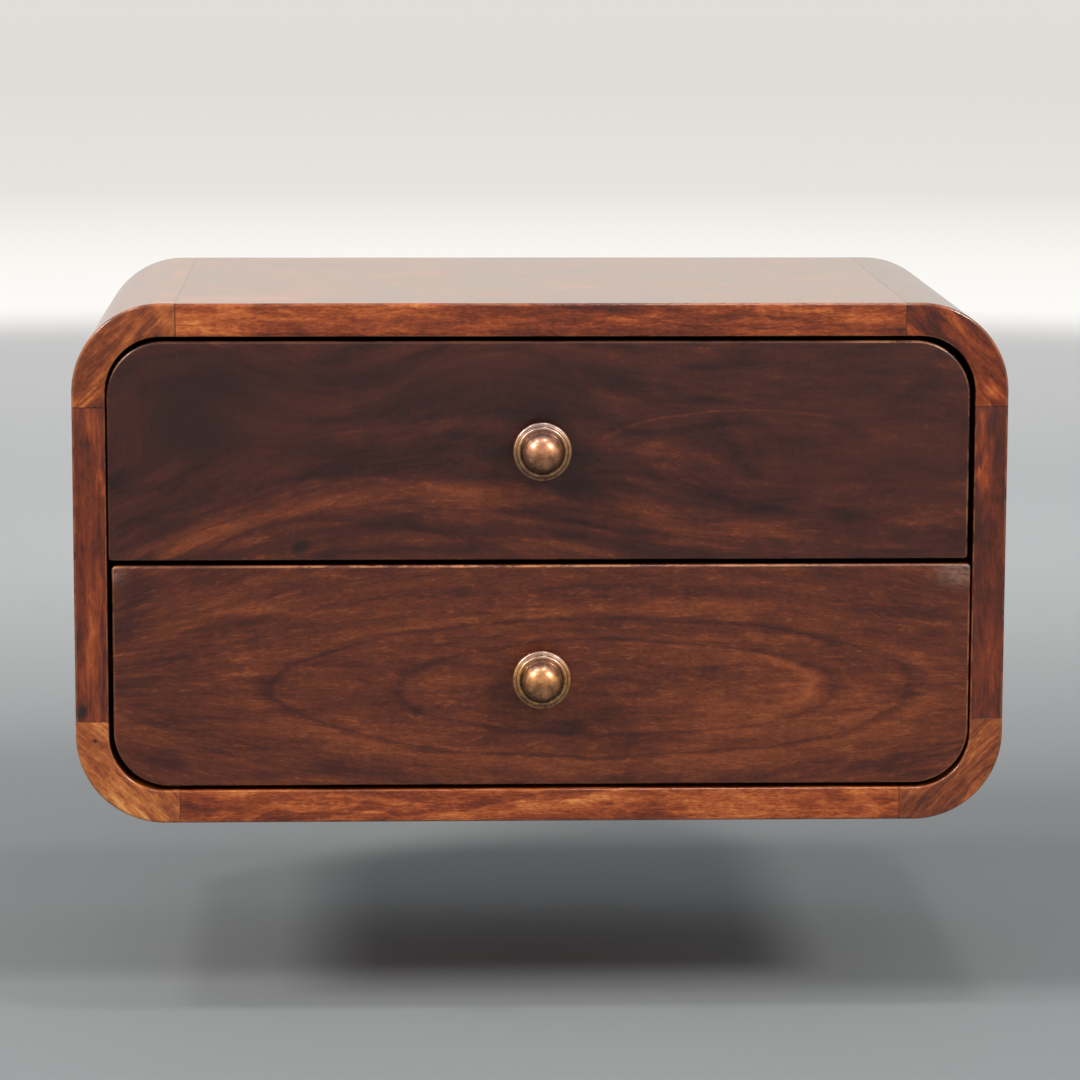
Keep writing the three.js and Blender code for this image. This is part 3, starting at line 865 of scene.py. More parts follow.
def skin(name: str, rings: np.ndarray, values: Values, flat_ends: bool = True) -> bpy.types.Object:
    """Makes one closed mesh of rings of points, in millimetres.

    Quads join each ring to the next, and the first and the last ring are closed by one face each or
    by the point that they shrink to. Points that coincide are merged and faces turned outwards.

    Args:
        name: The piece's name.
        rings: Points as (ring, point, axis).
        values: Named values as (ring, point), which the finish reads.
        flat_ends: Whether the first and the last ring are closed by a face.

    Returns:
        The object, at the origin.
    """
    count, around, _ = rings.shape
    index = np.arange(count * around).reshape(count, around)
    ahead = np.roll(index, -1, axis=1)
    quads = np.stack([index[:-1], ahead[:-1], ahead[1:], index[1:]], axis=-1).reshape(-1, 4)
    faces = quads.tolist()
    if flat_ends:
        faces += [index[0, ::-1].tolist(), index[-1].tolist()]
    mesh = bpy.data.meshes.new(name)
    mesh.from_pydata((rings.reshape(-1, 3) * MM).tolist(), [], faces)
    for label, value in values.items():
        layer = mesh.attributes.new(label, "FLOAT", "POINT")
        layer.data.foreach_set("value", np.ascontiguousarray(value, dtype=np.float32).ravel())
    work = bmesh.new()
    work.from_mesh(mesh)
    bmesh.ops.remove_doubles(work, verts=work.verts, dist=WELD)
    bmesh.ops.dissolve_degenerate(work, edges=work.edges, dist=WELD)
    bmesh.ops.recalc_face_normals(work, faces=work.faces)
    work.to_mesh(mesh)
    work.free()
    mesh.shade_smooth()
    mesh.set_sharp_from_angle(angle=SMOOTH_BELOW)
    piece = bpy.data.objects.new(name, mesh)
    bpy.context.scene.collection.objects.link(piece)
    return piece


def seat(piece: bpy.types.Object, body: str, slot: str, material: Material, *nodes: str) -> None:
    """Puts a new piece on its body in place of its CAD nodes.

    Args:
        piece: The new piece.
        body: The CAD body that it rides on.
        slot: The record's material slot, which is not used.
        material: Its finish.
        nodes: The CAD nodes that it stands for.
    """
    piece.data.materials.append(material)
    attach(piece, body)
    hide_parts(*nodes)
    log.info("%s on %s, %d faces", piece.name, body, len(piece.data.polygons))


def dress(node: str, material: Material, arris: float) -> None:
    """Gives a CAD node its finish and soft arrises.

    Args:
        node: The node's name.
        material: Its finish.
        arris: The width of its softened arrises, in millimetres.
    """
    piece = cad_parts[node]
    piece.data.materials.clear()
    piece.data.materials.append(material)
    weld = piece.modifiers.new("weld", "WELD")
    weld.merge_threshold = CAD_WELD
    flatten = piece.modifiers.new("flatten", "DECIMATE")
    flatten.decimate_type = "DISSOLVE"
    flatten.angle_limit = FLAT_BELOW
    soften = piece.modifiers.new("arris", "BEVEL")
    soften.width = arris * MM
    soften.segments = 2
    soften.limit_method = "ANGLE"
    soften.angle_limit = SMOOTH_BELOW
    soften.harden_normals = False
    log.info("%s keeps its frame shape", node)


@dataclass(frozen=True)
class RingMember:
    """One of the eight wooden pieces of the case ring, with the wood that it is cut from."""

    node: str
    timber: Timber


@dataclass
class CaseRing:
    """The rounded case ring: four boards and four corner blocks, in millimetres."""

    half_width: float = 225.0
    half_height: float = 126.5
    depth: float = 250.0
    wall: float = 16.0
    corner: float = 43.0
    leg: float = 7.0
    arris: float = 1.4
    inner_arris: float = 0.8
    rebate_arris: float = 0.3
    rebate: float = 8.0
    back: float = 9.0
    joint_gap: float = 0.04
    joint_chamfer: float = 0.08
    mortise: Span = (5.8, 10.2)
    mortise_depth: float = 8.2
    mortise_setback: float = 18.0
    mortise_play: float = 0.2
    hollow: float = 0.06

    ARRIS_STEPS: ClassVar[int] = 6
    REBATE_STEPS: ClassVar[int] = 2
    SIDE_STEPS: ClassVar[int] = 6
    APRON: ClassVar[float] = 0.9
    NEAR_JOINT: ClassVar[Triple] = (0.0, 0.5, 2.4)
    CLEAR_OF_JOINT: ClassVar[float] = 8.0
    BOARD_STATIONS: ClassVar[int] = 33
    TURN_STEPS: ClassVar[int] = 48
    HOLLOW_PACE: ClassVar[float] = 31.0
    TOUCH: ClassVar[float] = 0.01

    def section(self) -> tuple[np.ndarray, np.ndarray]:
        """Gives the closed cross-section.

        Returns:
            The points as (distance out from the opening, y), and their arris flags.
        """
        corners = [
            (0.0, -self.depth),
            (0.0, -self.back),
            (self.rebate, -self.back),
            (self.rebate, 0.0),
            (self.wall, 0.0),
            (self.wall, -self.depth),
        ]
        radii = [self.inner_arris] + [self.rebate_arris] * 3 + [self.arris] * 2
        steps = [self.ARRIS_STEPS] + [self.REBATE_STEPS] * 3 + [self.ARRIS_STEPS] * 2
        return filleted(corners, radii, steps, self.SIDE_STEPS, self.APRON)

    def shrunk(self, section: np.ndarray, by: float) -> np.ndarray:
        """Draws the cross-section in from every side, about the middle of the wall.

        Args:
            section: The cross-section.
            by: How far it draws in.

        Returns:
            The smaller cross-section.
        """
        middle = np.array([self.wall / 2, -self.depth / 2])
        size = np.array([self.wall / 2, self.depth / 2])
        return middle + (section - middle) * (1 - by / size)

    def pocket(self, section: np.ndarray) -> np.ndarray:
        """Draws the cross-section in to the outline of the mortise.

        Args:
            section: The cross-section.

        Returns:
            The mortise's outline, with as many points.
        """
        front = self.mortise_setback - self.depth - self.mortise_play
        rear = -self.back - self.mortise_setback + self.mortise_play
        inner, outer = self.mortise
        return np.clip(section, np.array([inner, front]), np.array([outer, rear]))

    def swept(self, stations: np.ndarray, rail: Rail) -> tuple[np.ndarray, Values]:
        """Carries the cross-section along a path, with chamfered ends that open into mortises.

        Each station s of the path places the section by rail(section, s). At both ends the section
        draws in for the chamfer, then to the mortise, which goes back into the wood. These rings and
        the body's own end are flagged as the joint.

        Args:
            stations: Path lengths from end to end, in millimetres.
            rail: Turns (section, station) into points.

        Returns:
            The rings, and their arris and joint values.
        """
        section, flags = self.section()
        first, last = stations[0], stations[-1]
        inner, tight = self.pocket(section), self.shrunk(section, self.joint_chamfer)
        body = stations.copy()
        body[0] += self.joint_chamfer
        body[-1] -= self.joint_chamfer
        before = [rail(inner, first + self.mortise_depth), rail(inner, first), rail(tight, first)]
        after = [rail(tight, last), rail(inner, last), rail(inner, last - self.mortise_depth)]
        rings = before + [rail(section, station) for station in body] + after
        joint = np.zeros(len(rings))
        joint[:len(before) + 1] = joint[-len(after) - 1:] = 1.0
        shape = (len(rings), len(flags))
        values = {"arris": np.broadcast_to(flags, shape), "joint": np.broadcast_to(joint[:, None], shape)}
        return np.stack(rings), values

    def straight(self, way: Way, half: float, out: float) -> tuple[np.ndarray, Rail]:
        """Gives the stations and the rail of a board.

        Args:
            way: The level or the side that the board is on.
            half: Half the board's length.
            out: How far the opening's face lies from the middle of the case.

        Returns:
            The path lengths, and the function that places a section.
        """
        end = half - self.joint_gap
        near = np.array(self.NEAR_JOINT) - end
        middle = np.linspace(self.CLEAR_OF_JOINT - end, end - self.CLEAR_OF_JOINT, self.BOARD_STATIONS)
        stations = np.concatenate([near, middle, -near[::-1]])
        upright = isinstance(way, Side)

        def rail(section: np.ndarray, station: float) -> np.ndarray:
            """Places a section along the board, whose outer face is a little hollow here and there.

            Args:
                section: Points as (distance out from the opening, y).
                station: The path length.

            Returns:
                Points as (x, y, z).
            """
            outer = section[:, 0] > self.wall - self.TOUCH
            worn = self.hollow * outer * (1 + math.sin(station / self.HOLLOW_PACE + way.sign))
            outwards = way.sign * (out + section[:, 0] - worn)
            along = np.full(len(section), station)
            columns = (outwards, section[:, 1], along) if upright else (along, section[:, 1], outwards)
            return np.stack(columns, axis=-1)

        return stations, rail

    def bent(self, level: Level, side: Side) -> tuple[np.ndarray, Rail]:
        """Gives the stations and the rail of a corner block.

        The path is a short straight leg, a quarter turn about the corner's centre and a second leg.
        A station before 0 or past the quarter turn's length lies on a leg.

        Args:
            level: The level that the block is on.
            side: The side that the block is on.

        Returns:
            The path lengths, and the function that places a section.
        """
        radius = self.corner - self.wall / 2
        sweep = radius * math.pi / 2
        centre_x, centre_z = self.half_width - self.corner, self.half_height - self.corner
        legs = np.array([*self.NEAR_JOINT, self.leg])
        turn = np.linspace(0.0, sweep, self.TURN_STEPS + 1)[1:-1]
        stations = np.concatenate([legs - self.leg, turn, sweep + self.leg - legs[::-1]])

        def rail(section: np.ndarray, station: float) -> np.ndarray:
            """Places a section along the two legs and the turn between them.

            Args:
                section: Points as (distance out from the opening, y).
                station: The path length.

            Returns:
                Points as (x, y, z).
            """
            angle = np.clip(station / radius, 0.0, math.pi / 2)
            past = station - angle * radius
            spread = self.corner - self.wall + section[:, 0]
            x = centre_x + spread * math.cos(angle) - past * math.sin(angle)
            z = centre_z + spread * math.sin(angle) + past * math.cos(angle)
            return np.stack([side.sign * x, section[:, 1], level.sign * z], axis=-1)

        return stations, rail

    def build(self, members: Sequence[RingMember]) -> None:
        """Makes the eight pieces and their finishes.

        Args:
            members: The four boards and the four blocks, in any order.
        """
        long_half = self.half_width - self.corner - self.leg
        short_half = self.half_height - self.corner - self.leg
        paths = {f"{level.label}_board": self.straight(level, long_half, self.half_height - self.wall)
                 for level in Level}
        paths |= {f"{side.label}_board": self.straight(side, short_half, self.half_width - self.wall)
                  for side in Side}
        paths |= {f"corner_block_{level.label}_{side.label}": self.bent(level, side)
                  for level in Level for side in Side}
        for member in members:
            rings, values = self.swept(*paths[member.node])
            piece = skin(f"{member.node}_wood", rings, values)
            seat(piece, "carcass", "case_wood", member.timber.material(), member.node)


@dataclass
class TurnedKnob:
    """A turned brass knob with a beaded foot, a waist, a rim, a ring and a dome, in millimetres.

    Each bow is part of an oval, as its middle's radius and height and its reach both ways. The waist
    is a cubic curve between its outer two points, and the cove and the groove are points of their own.
    """

    foot: float = -249.2
    bore: float = 2.2
    bore_depth: float = 11.0
    bead: tuple[Span, Span] = ((6.9, 1.1), (1.1, 1.1))
    waist: Points = ((6.9, 2.2), (4.2, 2.2), (4.2, 10.6), (12.8, 10.6))
    rim: tuple[Span, Span] = ((12.8, 12.0), (1.4, 1.4))
    cove: Points = ((13.2, 13.34), (12.85, 13.36), (12.6, 13.5), (12.45, 13.8))
    ring: tuple[Span, Span] = ((11.2, 14.6), (1.2, 1.2))
    groove: Points = ((10.75, 15.73), (10.4, 15.58), (10.1, 15.4), (9.82, 15.3), (9.62, 15.44))
    dome: tuple[Span, Span] = ((0.0, 17.4), (9.6, 8.0))
    tip: float = 25.4

    AROUND: ClassVar[int] = 96
    BEAD_POINTS: ClassVar[int] = 13
    RIM_POINTS: ClassVar[int] = 11
    WAIST_POINTS: ClassVar[int] = 20
    RING_POINTS: ClassVar[int] = 11
    RING_START: ClassVar[float] = -0.35
    DOME_POINTS: ClassVar[int] = 29
    DOME_START: ClassVar[float] = -0.19

    @staticmethod
    def bow(oval: tuple[Span, Span], turn: np.ndarray) -> np.ndarray:
        """Gives the points of a bow.

        Args:
            oval: The oval's middle as (radius, height), and its reach both ways.
            turn: The points' angles round the middle.

        Returns:
            The points as (radius, height).
        """
        (out, up), (reach_out, reach_up) = oval
        return np.stack([out + reach_out * np.cos(turn), up + reach_up * np.sin(turn)], axis=-1)

    def profile(self) -> tuple[np.ndarray, np.ndarray]:
        """Draws half the knob's outline, from the bore to the tip of the dome.

        Every form has the depth of its first and of its last point, and goes evenly between them.

        Returns:
            The points as (radius, height), and how deep each lies in a groove, from 0 to 1, where the dome's
            sides also carry painted shade.
        """
        quarter = math.pi / 2
        half_turn = np.linspace(-quarter, quarter, self.BEAD_POINTS)
        share = np.linspace(0.0, 1.0, self.WAIST_POINTS + 2)[1:-1, None]
        start, leaving, arriving, end = np.array(self.waist)
        waist = (
            (1 - share) ** 3 * start
            + 3 * (1 - share) ** 2 * share * leaving
            + 3 * (1 - share) * share**2 * arriving
            + share**3 * end
        )
        ring_turn = np.linspace(self.RING_START, quarter, self.RING_POINTS)
        dome_turn = np.linspace(self.DOME_START, quarter, self.DOME_POINTS + 1)[:-1]
        forms = (
            (np.array([(0.0, self.bore_depth), (self.bore, self.bore_depth), (self.bore, 0.0)]), 1.0, 1.0),
            (self.bow(self.bead, half_turn), 0.3, 0.3),
            (waist, 0.75, 0.75),
            (self.bow(self.rim, half_turn[:self.RIM_POINTS]), 0.5, 0.15),
            (np.array(self.cove), 0.5, 0.5),
            (self.bow(self.ring, ring_turn), 0.55, 0.2),
            (np.array(self.groove), 0.5, 1.0),
            # The dome's value falls from 1 at its foot to nearly 0 at its tip: patina at the foot, and
            # painted shade darkening the dome's sides.
            (self.bow(self.dome, dome_turn), 1.0, 0.05),
            (np.array([(0.0, self.tip)]), 0.0, 0.0),
        )
        depths_and_painted_shade = [np.linspace(first, last, len(points)) for points, first, last in forms]
        return np.vstack([points for points, _, _ in forms]), np.concatenate(depths_and_painted_shade)

    def build(self, level: str, z: float, material: Material) -> None:
        """Revolves the profile about its axis along -Y.

        Args:
            level: Which drawer the knob is on, upper or lower.
            z: The height of its axis.
            material: Its finish.
        """
        profile, depths_and_painted_shade = self.profile()
        angle = np.linspace(0.0, 2 * math.pi, self.AROUND, endpoint=False)
        radius, height = profile[:, 0, None], profile[:, 1, None]
        x, y = radius * np.cos(angle), self.foot - height + 0.0 * angle
        rings = np.stack([x, y, z + radius * np.sin(angle)], axis=-1)
        values = {"recess": np.broadcast_to(depths_and_painted_shade[:, None], rings.shape[:2])}
        piece = skin(f"{level}_knob_turned", rings, values, flat_ends=False)
        seat(piece, f"{level}_drawer", "aged_brass", material, f"{level}_knob")


class Head(Enum):
    """A screw head, as its edge's and its neck's height, its neck's reach and how far it is crowned."""

    COUNTERSUNK = (0.12, 0.3, 0.9, 0.0)
    PAN = (0.5, 0.98, 1.0, 1.0)


@dataclass(frozen=True)
class ScrewKind:
    """The make of a screw, in millimetres."""

    radius: float
    head_radius: float
    head_height: float
    head: Head
    pitch: float
    thread: float


@dataclass
class Screws:
    """Fine screws, each laid where its frame node is and pointing along its axis.

    The cross and the crown are shares of the head's radius, the cross's depth is one of its height,
    and the taper and its blunt end are shares of the shank's radius. The rest is millimetres.
    """

    arm: float = 0.62
    bar: float = 0.2
    slope: float = 0.12
    cross_depth: float = 0.62
    crown_start: float = 0.6
    crown_gain: float = 4.0
    neck: float = 1.0
    thread_start: float = 1.6
    thread_end: float = 0.6
    taper: float = 2.2
    blunt: float = 0.12
    point: float = 0.02

    AROUND: ClassVar[int] = 40
    HEAD_RINGS: ClassVar[int] = 12
    HEAD_SPAN: ClassVar[Span] = (0.02, 0.94)
    RINGS_TO_PITCH: ClassVar[int] = 5

    def face(self, kind: ScrewKind, angle: np.ndarray) -> tuple[np.ndarray, np.ndarray]:
        """Draws the head's face, with its cross.

        The face is a disc whose height falls into a cross where a point lies within half the
        cross's width of either of its bars. A crowned head falls away past the crown's start by the
        square of the share of the radius that is left, times the gain and the edge's height.

        Args:
            kind: The make.
            angle: The angles round the axis.

        Returns:
            The rings of the face, and how far each point is sunk, from 0 to 1.
        """
        edge, _, _, crowned = kind.head.value
        share = np.linspace(*self.HEAD_SPAN, self.HEAD_RINGS)[:, None]
        spread = share * kind.head_radius
        across, up = spread * np.cos(angle), spread * np.sin(angle)
        arm, bar = self.arm * kind.head_radius, self.bar * kind.head_radius
        inside = np.minimum(
            np.maximum(np.abs(across) - arm, np.abs(up) - bar),
            np.maximum(np.abs(up) - arm, np.abs(across) - bar),
        )
        sunk = np.clip(0.5 - inside / (self.slope * kind.head_radius), 0.0, 1.0)
        past = np.maximum(share - self.crown_start, 0.0)
        crown = past**2 * self.crown_gain * edge * kind.head_height * crowned
        return np.stack([crown + sunk * self.cross_depth * kind.head_height, across, up], axis=-1), sunk

    def rings(self, kind: ScrewKind, length: float) -> tuple[np.ndarray, np.ndarray]:
        """Draws the screw along +X from its head's face, as rings of points.

        The shank's radius follows the thread, a triangle wave of distance along the axis over the
        pitch less the turn round it.

        Args:
            kind: The make.
            length: The whole length with the head.

        Returns:
            The rings, and 1 where a point lies in the cross.
        """
        angle = np.linspace(0.0, 2 * math.pi, self.AROUND, endpoint=False)
        face, sunk = self.face(kind, angle)
        edge, neck_height, neck_reach, _ = kind.head.value
        under = kind.radius if kind.head is Head.COUNTERSUNK else kind.head_radius
        rim = np.array([
            (kind.head_height * edge, kind.head_radius),
            (kind.head_height * neck_height, kind.head_radius * neck_reach),
            (kind.head_height, under),
            (kind.head_height, kind.radius),
            (kind.head_height + self.neck, kind.radius),
        ])
        pace = kind.pitch / self.RINGS_TO_PITCH
        turns = np.arange(kind.head_height + self.thread_start, length - self.thread_end, pace)
        tip = np.clip((length - turns) / (self.taper * kind.radius), self.blunt, 1.0)
        along = np.concatenate([rim[:, 0], turns])[:, None]
        wave = np.abs(((along / kind.pitch - angle / (2 * math.pi)) % 1.0) * 2 - 1)
        cut = np.concatenate([np.zeros(len(rim)), np.full(len(turns), kind.thread)])[:, None]
        outline = np.concatenate([rim[:, 1], kind.radius * tip])[:, None]
        radius = outline - cut * wave * outline / kind.radius
        shank = np.stack([along + 0.0 * angle, radius * np.cos(angle), radius * np.sin(angle)], axis=-1)
        end = np.full(self.AROUND, length)
        point = np.stack([end, np.cos(angle) * self.point, np.sin(angle) * self.point], axis=-1)
        rings = np.concatenate([face, shank, point[None]])
        recess = np.zeros(rings.shape[:2])
        recess[:self.HEAD_RINGS] = sunk
        return rings, recess

    def build(self, node: str, body: str, kind: ScrewKind, axis: Vector, material: Material) -> None:
        """Lays one screw in the box of its frame node.

        Args:
            node: The frame node.
            body: The body that it rides on.
            kind: The make.
            axis: The way that it points.
            material: Its finish.
        """
        low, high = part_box(node)
        middle, size = (low + high) / 2, high - low
        length = max(size) / MM
        head = middle - axis * max(size) / 2
        rings, recess = self.rings(kind, length)
        turn = np.array(axis.to_track_quat("X", "Z").to_matrix())
        placed = rings @ turn.T + np.array(head) / MM
        piece = skin(f"{node}_fine", placed, {"recess": recess})
        seat(piece, body, "zinc_steel", material, node)


@dataclass
class Drawer:
    """One drawer: its applied face, its knob, its dovetailed box and its screws, in millimetres."""

    level: str
    middle_x: float
    middle_z: float
    height: float
    upper_radius: float
    lower_radius: float
    knob_z: float
    knob_tones: tuple[Colour, Colour]
    face: Timber
    width: float = 415.0
    front: float = -249.0
    thickness: float = 16.0
    arris: float = 1.2
    back_arris: float = 0.5
    box_arris: float = 0.35
    bottom_arris: float = 0.2
    sharpest: float = 0.4
    hollow: float = 0.02

    CORNER_STEPS: ClassVar[int] = 22
    SIDE_STEPS: ClassVar[int] = 34
    ARRIS_STEPS: ClassVar[int] = 6
    FRONT_RINGS: ClassVar[int] = 15
    FRONT_SPAN: ClassVar[Span] = (3.5, 0.6)
    BACK_WEAR: ClassVar[float] = 0.4
    NEAR_ARRIS: ClassVar[float] = 3.0
    PAST_ARRIS: ClassVar[float] = 0.7
    HOLLOW_REACH: ClassVar[float] = 4.0
    WAVES: ClassVar[tuple[Triple, ...]] = ((23.0, 41.0, 0.0), (-61.0, 17.0, 1.3))

    @property
    def body(self) -> str:
        """The CAD body that everything on this drawer rides on."""
        return f"{self.level}_drawer"

    def outline(self, inset: float) -> np.ndarray:
        """Draws the face's outline.

        Args:
            inset: How far the outline is drawn in.

        Returns:
            The points as (x, z) from the face's middle.
        """
        half_x, half_z = self.width / 2 - inset, self.height / 2 - inset
        corners = [(half_x, half_z), (-half_x, half_z), (-half_x, -half_z), (half_x, -half_z)]
        rounding = (self.upper_radius, self.upper_radius, self.lower_radius, self.lower_radius)
        radii = [max(radius - inset, self.sharpest) for radius in rounding]
        return filleted(corners, radii, (self.CORNER_STEPS,) * 4, self.SIDE_STEPS)[0]

    def face_levels(self) -> list[Triple]:
        """Lists the face's outlines from its back, round the arris, to the middle of the front.

        Returns:
            The (inset, y, arris value) of each outline.
        """
        back = self.front + self.thickness
        levels = [
            (self.back_arris, back, 0.0),
            (0.0, back - self.back_arris, self.BACK_WEAR),
            (0.0, self.front + self.thickness / 2, 0.0),
            (0.0, self.front + self.NEAR_ARRIS, 0.0),
        ]
        for angle in np.linspace(0.0, math.pi / 2, self.ARRIS_STEPS + 1):
            inset, sunk = self.arris * (1 - math.cos(angle)), self.arris * (1 - math.sin(angle))
            levels.append((inset, self.front + sunk, math.sin(2 * angle)))
        levels.append((self.arris + self.PAST_ARRIS, self.front, 0.0))
        outer, inner = self.FRONT_SPAN
        insets = np.linspace(outer, self.height / 2 - inner, self.FRONT_RINGS)
        return levels + [(inset, self.front, 0.0) for inset in insets]

    def face_rings(self) -> tuple[np.ndarray, Values]:
        """Draws the face as rings of points.

        The front sinks by up to a few hundredths of a millimetre, as a sum of slow waves over x
        and z, as a sanded and hand-rubbed board does.

        Returns:
            The rings, and their arris values.
        """
        rings, flags = [], []
        for inset, depth, flag in self.face_levels():
            loop = self.outline(inset)
            x, z = loop[:, 0] + self.middle_x, loop[:, 1] + self.middle_z
            fade = min(max((inset - self.arris) / self.HOLLOW_REACH, 0.0), 1.0)
            wave = sum(np.sin(x / over_x + z / over_z + start) for over_x, over_z, start in self.WAVES)
            sunk = fade * self.hollow * (len(self.WAVES) + wave)
            rings.append(np.stack([x, depth + sunk, z], axis=-1))
            flags.append(np.full(len(loop), flag))
        return np.stack(rings), {"arris": np.stack(flags)}

    def build(self, box_wood: dict[str, Material], steel: Material,
              bottom: Material, screws: Screws) -> None:
        """Makes and dresses everything on the drawer.

        Args:
            box_wood: The box's finishes by the way that the fibres run, across or deep.
            steel: The screws' finish.
            bottom: The bottom panel's finish.
            screws: The maker of the screws.
        """
        rings, values = self.face_rings()
        piece = skin(f"{self.level}_face_wood", rings, values)
        seat(piece, self.body, "front_wood", self.face.material(), f"{self.level}_drawer_face")
        brass = AgedBrass(f"{self.level}_knob_brass", 0.0, self.knob_z, *self.knob_tones).material()
        TurnedKnob().build(self.level, self.knob_z, brass)
        for part in ("front", "back"):
            dress(f"{self.level}_drawer_{part}", box_wood["across"], self.box_arris)
        for side in Side:
            dress(f"{self.level}_drawer_side_{side.label}", box_wood["deep"], self.box_arris)
        dress(f"{self.level}_drawer_bottom", bottom, self.bottom_arris)
        for side in Side:
            for end in ("bottom", "top"):
                node = f"{self.level}_front_screw_{side.label}_{end}"
                screws.build(node, self.body, WOOD_SCREW, FORWARDS, steel)
        screws.build(f"{self.level}_knob_screw", self.body, MACHINE_SCREW, FORWARDS, steel)


WOOD_SCREW = ScrewKind(1.6, 3.4, 2.0, Head.COUNTERSUNK, pitch=1.8, thread=0.45)
PLATE_SCREW = ScrewKind(1.4, 2.8, 1.4, Head.COUNTERSUNK, pitch=1.5, thread=0.4)
MACHINE_SCREW = ScrewKind(2.0, 4.0, 2.4, Head.PAN, pitch=0.9, thread=0.25)


@dataclass
class InsideOfCase:
    """What the case carries inside and behind: tongues, runners, rail, back, plates and screws."""

    runner_screw_ends: tuple[str, ...] = ("front", "rear")
    plate_screw_ends: tuple[str, ...] = ("lower", "upper")
    tongue_arris: float = 0.3
    rail_arris: float = 0.8
    back_arris: float = 0.25
    plate_arris: float = 0.2
    runner_arris: float = 0.5

    def build(self, screws: Screws, steel: Material, plain: dict[str, Material]) -> None:
        """Dresses the frame nodes and lays the screws.

        Args:
            screws: The maker of the screws.
            steel: The finish of screws and plates.
            plain: The finishes of plain wood by the way that the fibres run, and of the back.
        """
        for level in Level:
            for side in Side:
                dress(f"tongue_{level.label}_board_{side.label}", plain["deep"], self.tongue_arris)
                dress(f"tongue_{side.label}_board_{level.label}", plain["deep"], self.tongue_arris)
        dress("hanging_rail", plain["across"], self.rail_arris)
        dress("back_panel", plain["back"], self.back_arris)
        for side in Side:
            dress(f"keyhole_plate_{side.label}", steel, self.plate_arris)
            for end in self.plate_screw_ends:
                node = f"keyhole_screw_{side.label}_{end}"
                screws.build(node, "carcass", PLATE_SCREW, FORWARDS, steel)
            for level in ("upper", "lower"):
                dress(f"runner_{level}_{side.label}", plain["runner"], self.runner_arris)
                for end in self.runner_screw_ends:
                    node = f"runner_screw_{level}_{side.label}_{end}"
                    screws.build(node, "carcass", WOOD_SCREW, Vector((side.sign, 0, 0)), steel)


@dataclass(frozen=True)
class SoftLamp:
    """A round soft lamp that faces the nightstand."""

    name: str
    direction: Triple
    distance: float
    size: float
    power: float
    colour: Triple = (1.0, 0.96, 0.9)

    def hang(self, target: Vector) -> None:
        """Hangs the lamp along its direction from a target.

        Args:
            target: The place that it lights, in metres.
        """
        data = bpy.data.lights.new(self.name, "AREA")
        data.energy, data.size, data.color = self.power, self.size, self.colour
        data.shape = "DISK"
        lamp = bpy.data.objects.new(self.name, data)
        towards = Vector(self.direction).normalized()
        lamp.location = target + towards * self.distance
        lamp.rotation_mode = "QUATERNION"
        lamp.rotation_quaternion = towards.to_track_quat("Z", "Y")
        bpy.context.scene.collection.objects.link(lamp)


FLOOR_NEAR = paint((126, 130, 133))
FLOOR_BEHIND = paint((199, 201, 204))
FLOOR_FAR = paint((226, 227, 229))
WALL_PAINT = paint((238, 234, 230))
WALL_GLOW: Stops = (
    (0.0, (254, 252, 249)),
    (0.02, (250, 247, 243)),
    (0.07, (231, 227, 223)),
    (0.2, (224, 220, 216)),
    (0.45, (226, 222, 216)),
    (0.8, (243, 238, 226)),
)
WORLD_COLOUR = (0.95, 0.98, 1.0, 1.0)
LAMP_TARGET = Vector((0.0, -0.12, 0.0))
LAMPS = (
    SoftLamp("left_lamp", (-0.72, -0.42, 0.60), 2.1, 0.5, 27.0),
    SoftLamp("right_lamp", (0.53, -0.62, 0.56), 2.1, 0.45, 25.0),
    SoftLamp("high_left_lamp", (-0.50, -0.30, 0.95), 2.1, 0.3, 9.0),
    SoftLamp("high_right_lamp", (0.14, -0.30, 1.0), 2.1, 0.3, 9.0),
)


